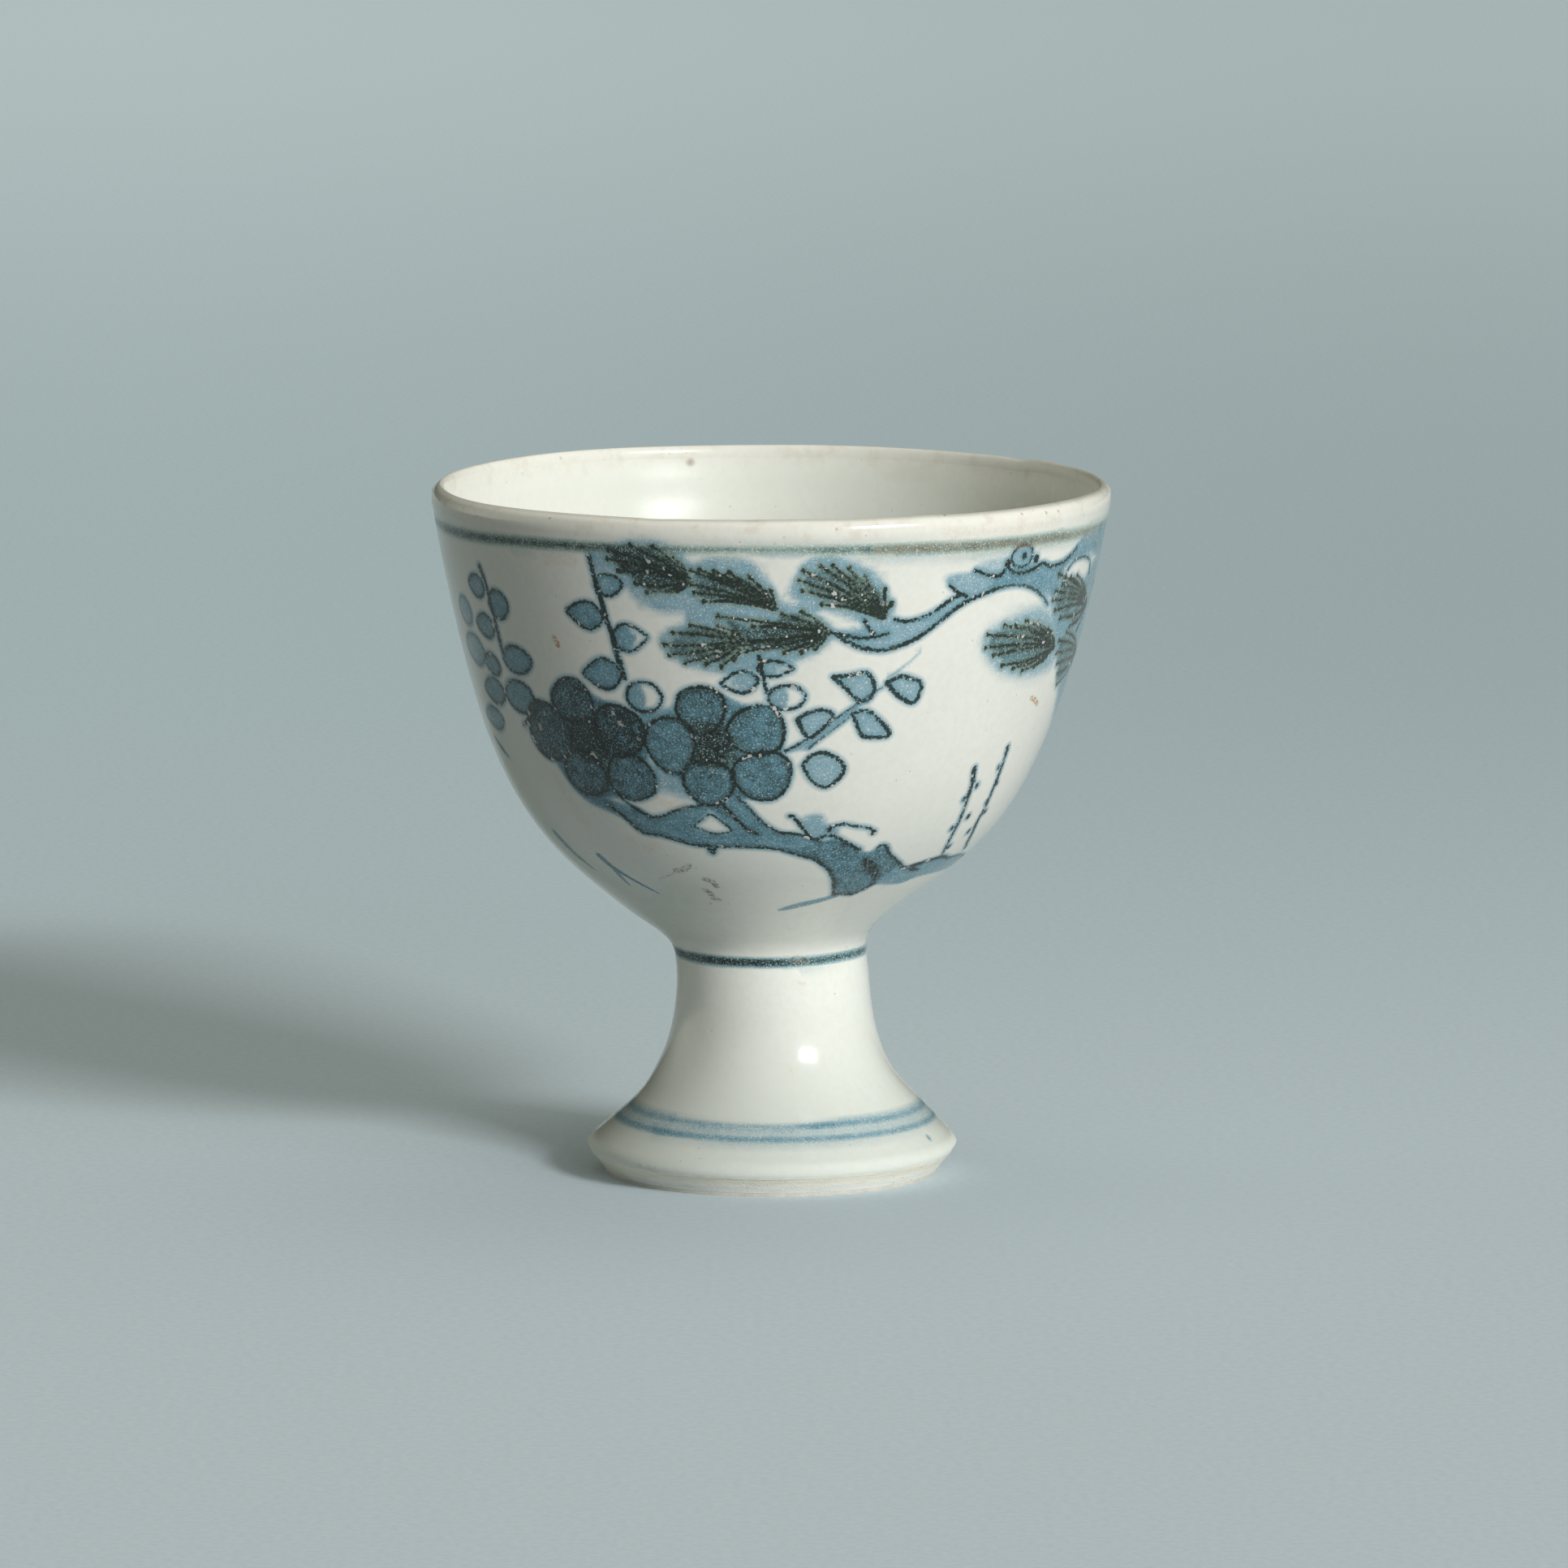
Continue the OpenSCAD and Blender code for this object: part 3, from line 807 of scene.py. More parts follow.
def paint_trunk(brush):
    """Prunus trunk that lies under the blossoms and meets the ground, with two dotted shoots."""
    lower = [
        (-37, 34.6), (-33, 33.3), (-30, 32.2), (-26, 32), (-22, 31.7), (-18, 31.3), (-14, 31.2),
        (-10, 31.2), (-5, 31.2), (0, 31.1), (4, 30.9), (8, 30.4), (12, 30), (15, 29.4), (18, 28.6),
        (20, 27.8), (22, 26.8), (23, 26.2),
    ]
    upper = [
        (-34.5, 36.3), (-32, 35), (-29, 34.2), (-26, 33.7), (-23, 33.9), (-18, 34.7), (-12, 35.1),
        (-9, 35.1),
    ]
    ridge = [
        (-6, 35.8), (-4, 35), (-2, 34), (0, 33.3), (3, 32.6), (7, 32.4), (10, 32.1), (13, 31.6),
    ]
    right = [
        (28, 30.6), (29, 31), (30.5, 30.8), (33, 30), (36, 29.4), (39, 28.8), (42, 28.4),
        (48, 28.7), (53, 28.9), (56, 28.9), (60, 28.6), (66, 28.6), (72, 28.3), (80, 27.9),
    ]
    bottom = [
        (23, 26.2), (27, 26.2), (30, 26.1), (33, 26.6), (35, 27), (40, 26.8), (47, 26.7),
        (52, 27.1), (60, 27.2), (70, 27.1), (80, 27),
    ]
    brush.line(lower, 0.45, 0.8)
    brush.line(upper, 0.42, 0.8)
    brush.line(ridge, 0.42, 0.78)
    brush.line(right, [0.4] * 6 + [0.55] * 5 + [0.4] * 3, [0.78] * 6 + [0.86] * 5 + [0.7] * 3)
    brush.line(bottom[:5], 0.5, 0.82)
    brush.line([(-13.8, 31), (-13, 30.5), (-12.2, 31)], 0.5)
    brush.line([
        (-16.5, 33), (-14, 33.8), (-12, 34.2), (-10, 33.6), (-8, 32.7), (-12, 32.4), (-16.5, 33),
    ], 0.35, 0.7)
    brush.line([(-9, 35), (-7, 34), (-4.5, 33), (-2, 32.4)], 0.42)
    brush.line([(12, 31.9), (15, 32.2), (17, 31.9), (20, 31.3), (23.5, 30.7)], 0.55)
    brush.line([(5, 34.1), (6, 34), (7.5, 33.3), (9, 32.6), (10.5, 32)], 0.45)
    brush.line([(14.5, 33), (17.5, 33.2), (21, 32.9), (24, 32.7), (25.5, 32.3)], 0.4)
    brush.dot((25.5, 32.3), 0.6)
    brush.dot((14.5, 32.8), 0.7)
    brush.line([(26, 29.6), (29, 29), (32, 28.4), (35, 27.7)], [0.7, 1.3, 1.2, 0.6], 0.7, 0.2, 0.2)
    for a, z in [(26.5, 29.7), (28.5, 29.4), (30.5, 28.9), (32.5, 28.4)]:
        brush.line([(a, z), (a + 0.6, z - 0.5), (a + 1.8, z - 1.2)], [0.45, 0.4, 0.25], 0.9)
    brush.line([(44, 28.2), (46, 28.1), (49, 27.9)], [0.3, 0.7, 0.3], 0.82)
    brush.line([
        (7, 24.8), (10, 25), (14, 25.3), (20, 25.7), (24, 26),
    ], [0.3, 0.65, 0.75, 0.7, 0.5], 0.52, 0, 0.18)

    fork = [
        (-6, 35.8), (-7, 36), (-9, 35.1), (-9, 35.1), (-8, 32.6), (-12, 32.4), (-16.5, 32.9),
        (-16, 34.8), (-23, 33.9), (-26, 33.7), (-30, 34.6),
    ]
    brush.wash(lower[1:13] + ridge[::-1] + fork, 0.57, soft=0.25)
    root = [(27, 30.4), (23.5, 30.6), (17, 31.8), (13, 31.6)]
    brush.wash(lower[10:] + bottom[1:5] + right[5:1:-1] + root, 0.66, soft=0.25)
    brush.wash(bottom[3:] + right[::-1][:12], 0.5, soft=0.3)
    brush.wash([
        (-16.8, 33.1), (-16, 34.8), (-12.5, 35.2), (-9, 35.2), (-7.4, 34), (-8, 32.9), (-9.8, 33.8),
        (-12, 34.5), (-14.2, 34),
    ], 0.6, soft=0.2)
    brush.wash([
        (7.5, 33.6), (9, 34.1), (12, 34.2), (14, 33.2), (17, 32.6), (13, 31.9), (10, 32.4),
    ], 0.34)

    brush.line([
        (48, 37.3), (49, 36), (49.5, 35), (50, 34), (50.5, 33), (51, 32), (51.5, 31), (52.5, 30),
        (54, 29.2),
    ], [0.7, 0.6, 0.55, 0.5, 0.55, 0.5, 0.45, 0.4, 0.35])
    brush.line([
        (57.5, 38.7), (58, 37.5), (58.2, 36.5), (58.5, 35), (59, 34), (59.3, 33), (59.5, 32),
        (61, 31), (63, 30), (66, 29.2),
    ], [0.7, 0.5, 0.55, 0.5, 0.5, 0.45, 0.5, 0.5, 0.5, 0.4])
    for centre in [
        (51.2, 35.6), (48.5, 34.5), (53.5, 32.7), (49.5, 31.8), (54, 29.9), (56.8, 37), (59, 35.4),
        (58.5, 33.8), (60.5, 32.8), (58.3, 31.1),
    ]:
        brush.dot(centre, 0.6, 0.85)


def paint_grass(brush):
    """Loose strokes of grass under the blossoms."""
    brush.line([(-64, 30.7), (-61, 29), (-57, 27.7)], [0.8, 0.7, 0.2], 0.5, 0, 0.25)
    brush.line([
        (-48.3, 29.3), (-46, 28.3), (-43, 27.6), (-40, 27), (-35, 26.1),
    ], [0.7, 0.6, 0.4, 0.35, 0.12], 0.62, 0, 0.15)
    brush.line([(-46, 28), (-45.5, 27.2), (-45, 26.5)], [0.5, 0.4, 0.12], 0.5, 0, 0.15)


def paint_back(brush):
    """The far side, which the front leads into: pine trunk, bamboo and more prunus."""
    left = [
        (110, 28), (111, 31), (109.5, 34), (107, 37.5), (104, 41), (100, 44.5), (95, 47.5),
        (89, 50), (83, 52),
    ]
    right = [
        (124, 28), (121, 30.5), (119, 34), (117, 38), (114, 42), (110.5, 46), (106, 49.5),
        (101, 52.5), (96, 55), (91, 56.3),
    ]
    brush.line(left, 0.45)
    brush.line(right, 0.45)
    brush.wash(left + right[::-1], 0.42)
    for a, z in [(114, 32), (111.5, 36.5), (109, 41), (104, 46), (98, 50)]:
        brush.line([
            (a - 1.5, z + 0.8), (a, z + 1.2), (a + 1.8, z + 0.6), (a + 2, z - 0.4),
        ], 0.32, 0.7)
    brush.wash([
        (80, 27.9), (95, 27.8), (110, 28.2), (125, 27.9), (140, 27.4), (150, 26.8), (140, 26.4),
        (120, 26.6), (100, 26.8), (80, 27),
    ], 0.42)
    brush.line([(80, 27.9), (95, 27.8), (108, 28.2)], 0.4, 0.7)
    brush.line([(126, 27.9), (138, 27.5), (150, 26.8)], [0.4, 0.35, 0.2], 0.7)
    brush.line([
        (114, 42), (120, 44.5), (127, 46), (134, 46.5), (141, 46),
    ], [0.8, 0.7, 0.6, 0.5, 0.4], 0.8)
    for a, z, wide, high in [(147, 47, 12, 4), (126, 49.8, 12, 3.4), (97, 39.8, 9, 3)]:
        brush.wash(round_outline(a, z, wide, high, 40), 0.31, soft=0.5)
    brush.needles((139, 46), [
        (156, 49), (157, 47.8), (157, 46.6), (156, 45.4), (153, 44.3), (149, 43.7), (152, 49.8),
        (147, 50),
    ])
    brush.needles((126, 46.5), [
        (116.5, 49.6), (118, 51), (121, 52), (124.5, 52.6), (128, 52.6), (131.5, 52), (134, 51),
        (135.5, 49.5),
    ])
    brush.needles((105, 40.5), [(90, 39), (90, 40.3), (91, 41.6), (93, 38), (96, 37.4), (99, 37.2)])

    for culm, joints in [
        ([(178, 26), (178.5, 33), (179, 40), (180, 47), (181.5, 54)], (30.5, 36.5, 42.5, 48.5)),
        ([(197, 26), (198, 32), (199, 38), (200.5, 45)], (30, 35.5, 41)),
    ]:
        for aside in (-0.9, 0.9):
            brush.line([(a + aside, z) for a, z in culm], 0.32, 0.8)
        brush.line(culm, 0.8, 0.36, 0, 0.2)
        for z in joints:
            a = np.interp(z, [q[1] for q in culm], [q[0] for q in culm])
            brush.line([(a - 1.5, z), (a, z + 0.15), (a + 1.5, z)], 0.4)
    for base, tips in [
        ((180, 48.5), [(190, 45.5), (188, 43.5), (193, 48)]),
        ((179, 42.5), [(170, 39.5), (168, 42), (172.5, 37.6)]),
        ((181.5, 54), [(192, 52), (190, 50), (171, 52), (173, 50)]),
        ((199.5, 41), [(209, 38.5), (210, 41), (207, 36.6)]),
        ((200.5, 45), [(211, 44.5), (208, 47.5), (195, 42.5)]),
    ]:
        for tip in tips:
            brush.bud(base, tip, 1.3, 0.6, point=1, width=0.36)

    brush.line([
        (-92, 53.5), (-93, 50), (-94.5, 46), (-97, 42), (-101, 38), (-106, 34), (-112, 31),
        (-119, 28.6),
    ], [0.4, 0.5, 0.6, 0.8, 1.1, 1.4, 1.7, 2], 0.8)
    for base, tip in [
        ((-92.5, 51.5), (-86, 52.2)), ((-93.3, 49), (-100, 50)), ((-94.3, 46.6), (-87, 47)),
        ((-96, 43.6), (-88.5, 43)),
    ]:
        brush.bud(base, tip, 2.3, 0.58)
    for a, z, spread in [(-108, 42.5, 1), (-122, 37.5, 0.9)]:
        for centre in round_outline(a, z, 8 * spread, 3.4 * spread, 72, start=18):
            brush.petal(centre, 5 * spread, 2.1 * spread, 0.6)
        brush.wash(round_outline(a, z, 4.5, 2, 72, start=18), 0.88, 0.5, soft=0.9)
    brush.line([
        (-140, 26.6), (-132, 26.2), (-124, 26.8), (-117, 28),
    ], [0.2, 0.5, 0.6, 0.6], 0.5, 0, 0.2)
    brush.line([(-160, 28.8), (-157, 27.4), (-151, 26.2)], [0.6, 0.5, 0.2], 0.5, 0, 0.2)
    brush.line([(-170, 29.5), (-168, 27.8), (-163, 26.3)], [0.6, 0.5, 0.2], 0.5, 0, 0.2)


def stain_cup(brush):
    """Brown marks on the glaze: two rust spots, scuffs and smudges."""
    for points, width, tone in [
        ([(-41.8, 49.1), (-41.2, 48.5)], 0.55, 1),
        ([(60.5, 42.9), (62, 42.7), (64, 42.2)], 0.45, 1),
        ([(-31, 27.6), (-26, 28.2), (-23, 28.8)], 0.3, 0.5),
        ([(-24, 28.6), (-21.5, 28.8), (-20, 29.2)], 0.7, 0.7),
        ([(-16.5, 27.9), (-14.5, 27.7), (-13.5, 27.2)], 0.6, 0.72),
        ([(-17.5, 26.8), (-16, 26.5), (-15.5, 25.9), (-14, 25.8)], 0.6, 0.72),
        ([(-24, 35.3), (-21, 34.9), (-18, 35)], 0.9, 0.32),
        ([(18, 57.3), (35, 57.15), (50, 57), (62, 57), (75, 56.9)], 0.9, 0.33),
        ([(30, 58.6), (42, 58.4), (55, 58.5)], 1, 0.22),
        ([(16, 17.6), (18, 17.4), (20, 17.5)], 0.2, 0.4),
        ([(7.5, 10.4), (9, 10.2), (10, 9.8)], 0.25, 0.3),
        ([(-43.9, 2.1), (-43.3, 2)], 0.35, 0.4),
        ([(14, 19.6), (18, 19.7), (22, 19.5)], 0.6, 0.6),
        ([(-41, 56), (-38.5, 56.2), (-35.5, 56)], 1.2, 0.3),
        ([(-34, 31.2), (-30, 30.6), (-27, 30.9)], 1.2, 0.2),
        ([(-50, 36), (-48.5, 34), (-46.5, 32.5)], 1.4, 0.17),
    ]:
        brush.stain(points, width, tone)


def build_painting(contour):
    """All the brush marks, in the order in which they are laid."""
    brush = Painting(contour)
    paint_rings(brush)
    paint_sprays(brush)
    paint_blossoms(brush)
    paint_pine(brush)
    paint_trunk(brush)
    paint_grass(brush)
    paint_back(brush)
    stain_cup(brush)
    return brush


# Meshes


def refined_cells(fields, columns, rows):
    """Cells of the unrolled coat, halved where the painting changes too fast for their corners."""
    finest = 2**COAT_HALVINGS
    i, j = np.meshgrid(np.arange(columns), np.arange(rows), indexing="ij")
    cells = np.column_stack([i.ravel(), j.ravel()]) * finest
    leaves = []
    for level in range(COAT_HALVINGS):
        size = finest >> level
        half = size // 2
        lattice = np.array([(u, v) for u in (0, half, size) for v in (0, half, size)])
        spots = (cells[:, None] + lattice).reshape(-1, 2)
        unique, back = np.unique(spots, axis=0, return_inverse=True)
        ink, _, wash, _, stain = fields(unique)
        ink = ink[back.ravel()].reshape(-1, 3, 3)
        wash = np.maximum(wash, stain)[back.ravel()].reshape(-1, 3, 3)
        nearest = np.clip(ink.min((1, 2)), 0, None)
        split = (misfit(ink) > INK_ERROR + INK_SLACK * nearest) | (misfit(wash) > WASH_ERROR)
        if level < COAT_LEAST_HALVINGS:
            split[:] = True
        leaves.append((cells[~split], size))
        steps = np.array([(0, 0), (half, 0), (0, half), (half, half)])
        cells = (cells[split][:, None] + steps).reshape(-1, 2)
    leaves.append((cells, 1))
    return leaves


def misfit(grid):
    """How far the middle and the edge middles of cells lie from what their corners say."""
    low, high = (grid[:, 0] + grid[:, 2]) / 2, (grid[:, :, 0] + grid[:, :, 2]) / 2
    worst = np.abs(grid[:, 1] - low)[:, [0, 2]].max(1)
    worst = np.maximum(worst, np.abs(grid[:, :, 1] - high)[:, [0, 2]].max(1))
    centre = (grid[:, 0, 0] + grid[:, 0, 2] + grid[:, 2, 0] + grid[:, 2, 2]) / 4
    return np.maximum(worst, np.abs(grid[:, 1, 1] - centre))


def cell_loops(leaves, around, up):
    """Corner places and face loops of cells, each face with the corners of smaller neighbours."""
    corners = []
    for cells, size in leaves:
        for du, dv in ((0, 0), (size, 0), (size, size), (0, size)):
            corners.append(cells + [du, dv])
    corners = np.vstack(corners)
    keys = np.unique(corners[:, 0] % around * (up + 1) + corners[:, 1])
    loops, totals, spots = [], [], []
    for cells, size in leaves:
        if not len(cells):
            continue
        side = np.arange(size)
        walk = np.vstack([
            np.column_stack([side, 0 * side]),
            np.column_stack([0 * side + size, side]),
            np.column_stack([size - side, 0 * side + size]),
            np.column_stack([0 * side, size - side]),
        ])
        edge = cells[:, None] + walk
        edge_keys = edge[:, :, 0] % around * (up + 1) + edge[:, :, 1]
        found = np.searchsorted(keys, edge_keys).clip(max=len(keys) - 1)
        kept = keys[found] == edge_keys
        loops.append(found[kept])
        spots.append(edge[kept])
        totals.append(kept.sum(1))
    places = np.column_stack([keys // (up + 1), keys % (up + 1)])
    return places, np.concatenate(loops), np.concatenate(totals), np.vstack(spots)


def mesh_from_loops(name, points, loops, totals):
    """A mesh of faces with any number of corners, from points in millimetres."""
    mesh = bpy.data.meshes.new(name)
    mesh.vertices.add(len(points))
    mesh.vertices.foreach_set("co", (points * MM).astype(np.float32).ravel())
    mesh.loops.add(len(loops))
    mesh.loops.foreach_set("vertex_index", loops.astype(np.int32))
    mesh.polygons.add(len(totals))
    mesh.polygons.foreach_set("loop_start", (np.cumsum(totals) - totals).astype(np.int32))
    mesh.update(calc_edges=True)
    mesh.polygons.foreach_set("use_smooth", np.ones(len(totals), bool))
    return mesh


def around_axis(radius, height, angle):
    """Points on the round cup, with angle 0 facing the viewer."""
    return np.column_stack([radius * np.sin(angle), -radius * np.cos(angle), height])


def on_axis(flat, angle):
    """Normals of a profile turned to their angles round the cup."""
    return around_axis(flat[:, 0], flat[:, 1], angle)


def coat_back(inner, steps):
    """Points and normals of the coat's back, which lies on the porcelain."""
    columns = np.arange(steps) / steps * FULL_TURN - math.pi
    rows = np.linspace(0, inner.length, COAT_BACK_ROWS)
    angle, s = [grid.ravel() for grid in np.meshgrid(columns, rows, indexing="ij")]
    return around_axis(*inner.at(s), angle), -on_axis(inner.normal(s), angle)


def coat_map(spots, totals, around, up, steps):
    """Map of the coat: four quarters of its front, over a strip for its back."""
    quarter = around // 4
    first_column = np.minimum.reduceat(spots[:, 0], np.cumsum(totals) - totals)
    turn = np.minimum(np.repeat(first_column, totals) // quarter, 3)
    u = (spots[:, 0] - turn * quarter) / quarter
    v = spots[:, 1] / up
    front = np.column_stack([
        (u * MAP_FILL + MAP_MARGIN + turn % 2) / 2,
        (v * MAP_FILL + MAP_MARGIN + turn // 2) * MAP_FRONT_HEIGHT,
    ])
    rows = COAT_BACK_ROWS + 1
    corner_i = np.repeat(np.arange(steps), rows)[:, None] + [0, 0, 1, 1]
    corner_j = np.tile(np.arange(rows), steps)[:, None] + [0, 1, 1, 0]
    height = MAP_BACK_START + MAP_BACK_HEIGHT * corner_j.ravel() / rows
    return np.vstack([front, np.column_stack([corner_i.ravel() / steps, height])])


def painted_coat(profile):
    """The outer coat of glaze as one closed shell that carries the painting at its corners."""
    outer = Contour(profile.outside(profile.glaze))
    inner = Contour(profile.outside(0))
    brush = build_painting(outer)
    finest = 2**COAT_HALVINGS
    around, up = COAT_COLUMNS * finest, COAT_ROWS * finest

    def on_coat(places):
        return places[:, 0] / around * FULL_TURN - math.pi, places[:, 1] / up * outer.length

    leaves = refined_cells(lambda p: brush.fields(*on_coat(p)), COAT_COLUMNS, COAT_ROWS)
    places, loops, totals, spots = cell_loops(leaves, around, up)
    angle, s = on_coat(places)
    points = around_axis(*outer.at(s), angle)
    normals = on_axis(outer.normal(s), angle)
    steps = COAT_COLUMNS * 2**COAT_LEAST_HALVINGS
    back_points, back_normals = coat_back(inner, steps)

    def outer_edge(row):
        wanted = np.arange(steps) * (around // steps) * (up + 1) + row
        return np.searchsorted(places[:, 0] * (up + 1) + places[:, 1], wanted)[:, None]

    back = len(points) + np.arange(steps)[:, None] * COAT_BACK_ROWS + np.arange(COAT_BACK_ROWS)
    rows = np.hstack([outer_edge(0), back, outer_edge(up)])
    following = np.roll(rows, -1, axis=0)
    quads = np.stack([rows[:, :-1], rows[:, 1:], following[:, 1:], following[:, :-1]], axis=-1)
    quads = quads.reshape(-1, 4)
    all_points = settle(np.vstack([points, back_points]))
    all_loops = np.concatenate([loops, quads.ravel()])
    all_totals = np.concatenate([totals, np.full(len(quads), 4)])
    mesh = mesh_from_loops("outer_glaze", all_points, all_loops, all_totals)
    mesh.normals_split_custom_set_from_vertices(np.vstack([normals, back_normals]).tolist())

    layers = zip(("ink", "ink_tone", "wash", "olive", "stain"), brush.fields(angle, s))
    for name, values in layers:
        bare = np.full(len(back_points), INK_REACH if name == "ink" else 0)
        layer = mesh.attributes.new(name, "FLOAT", "POINT")
        layer.data.foreach_set("value", np.append(values, bare).astype(np.float32))
    layer = mesh.uv_layers.new(name=BAKE_MAP)
    uv = coat_map(spots, totals, around, up, steps)
    layer.data.foreach_set("uv", uv.astype(np.float32).ravel())
    return mesh


def new_node(tree, kind, **settings):
    """A node of a kind, with its settings made."""
    node = tree.nodes.new(kind)
    for key, value in settings.items():
        setattr(node, key, value)
    return node


def turned_tree():
    """Geometry Nodes tree that turns a profile line round the cup's axis."""
    tree = bpy.data.node_groups.new("turned_body", "GeometryNodeTree")
    face = tree.interface
    face.new_socket("Geometry", in_out="INPUT", socket_type="NodeSocketGeometry")
    face.new_socket("Profile points", in_out="INPUT", socket_type="NodeSocketInt")
    face.new_socket("Steps round", in_out="INPUT", socket_type="NodeSocketInt")
    face.new_socket("Seam width", in_out="INPUT", socket_type="NodeSocketFloat")
    face.new_socket("Finish", in_out="INPUT", socket_type="NodeSocketMaterial")
    face.new_socket("Geometry", in_out="OUTPUT", socket_type="NodeSocketGeometry")

    def add(kind, **settings):
        return new_node(tree, kind, **settings)

    link = tree.links.new
    given = add("NodeGroupInput").outputs
    result = add("NodeGroupOutput").inputs
    one_more = add("FunctionNodeIntegerMath", operation="ADD")
    one_more.inputs[1].default_value = 1
    link(given["Steps round"], one_more.inputs[0])
    grid = add("GeometryNodeMeshGrid")
    link(one_more.outputs[0], grid.inputs["Vertices X"])
    link(given["Profile points"], grid.inputs["Vertices Y"])
    index = add("GeometryNodeInputIndex")
    column = add("FunctionNodeIntegerMath", operation="DIVIDE_FLOOR")
    row = add("FunctionNodeIntegerMath", operation="MODULO")
    for node in (column, row):
        link(index.outputs[0], node.inputs[0])
        link(given["Profile points"], node.inputs[1])
    place = add("GeometryNodeInputPosition")
    sample = add("GeometryNodeSampleIndex", data_type="FLOAT_VECTOR", domain="POINT")
    link(given["Geometry"], sample.inputs["Geometry"])
    link(place.outputs[0], sample.inputs["Value"])
    link(row.outputs[0], sample.inputs["Index"])
    share = add("ShaderNodeMath", operation="DIVIDE")
    link(column.outputs[0], share.inputs[0])
    link(given["Steps round"], share.inputs[1])
    angle = add("ShaderNodeMath", operation="MULTIPLY")
    angle.inputs[1].default_value = FULL_TURN
    link(share.outputs[0], angle.inputs[0])
    turn = add("ShaderNodeVectorRotate", rotation_type="Z_AXIS")
    link(sample.outputs["Value"], turn.inputs["Vector"])
    link(angle.outputs[0], turn.inputs["Angle"])
    shape = add("GeometryNodeSetPosition")
    link(grid.outputs["Mesh"], shape.inputs["Geometry"])
    link(turn.outputs["Vector"], shape.inputs["Position"])
    weld = add("GeometryNodeMergeByDistance")
    link(shape.outputs["Geometry"], weld.inputs["Geometry"])
    link(given["Seam width"], weld.inputs["Distance"])
    smooth = add("GeometryNodeSetShadeSmooth")
    link(weld.outputs["Geometry"], smooth.inputs["Geometry"])
    real = add("GeometryNodeRealizeInstances")
    link(smooth.outputs["Geometry"], real.inputs["Geometry"])
    coat = add("GeometryNodeSetMaterial")
    link(real.outputs["Geometry"], coat.inputs["Geometry"])
    link(given["Finish"], coat.inputs["Material"])
    link(coat.outputs["Geometry"], result["Geometry"])
    return tree


# Distance in metres within which a seam is welded, and least angle of a crease in degrees
SEAM_WIDTH = 0.000001
CREASE_ANGLE = 35


def turned_mesh(name, section, steps, finish):
    """A plain mesh of a section in millimetres, turned round the axis and then settled."""
    tree = bpy.data.node_groups.get("turned_body") or turned_tree()
    line = bpy.data.meshes.new(name + "_profile")
    points = [(r * MM, 0, z * MM) for r, z in section]
    line.from_pydata(points, [(k, k + 1) for k in range(len(points) - 1)], [])
    turner = bpy.data.objects.new(name + "_turner", line)
    bpy.context.scene.collection.objects.link(turner)
    modifier = turner.modifiers.new("Turned body", "NODES")
    modifier.node_group = tree
    values = {
        "Profile points": len(points),
        "Steps round": steps,
        "Seam width": SEAM_WIDTH,
        "Finish": finish,
    }
    for socket in tree.interface.items_tree:
        if socket.in_out == "INPUT" and socket.name in values:
            modifier[socket.identifier] = values[socket.name]
    depsgraph = bpy.context.evaluated_depsgraph_get()
    mesh = bpy.data.meshes.new_from_object(turner.evaluated_get(depsgraph), depsgraph=depsgraph)
    turner.modifiers.remove(modifier)
    bpy.data.objects.remove(turner)
    bpy.data.meshes.remove(line)
    mesh.name = name
    co = np.empty(len(mesh.vertices) * 3, np.float32)
    mesh.vertices.foreach_get("co", co)
    settled = settle(co.reshape(-1, 3).astype(float) / MM) * MM
    mesh.vertices.foreach_set("co", settled.astype(np.float32).ravel())
    mesh.set_sharp_from_angle(angle=math.radians(CREASE_ANGLE))
    mesh.update()
    return mesh


def add_piece(mesh, node, finish):
    """Places a finished mesh as the visible piece for a solid of the cup."""
    mesh.materials.clear()
    mesh.materials.append(finish)
    piece = bpy.data.objects.new(node + "_visual", mesh)
    bpy.context.scene.collection.objects.link(piece)
    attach(piece, "root")
    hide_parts(node)
    return piece


# Finishes


def rgba(colour):
    return (*colour, 1)


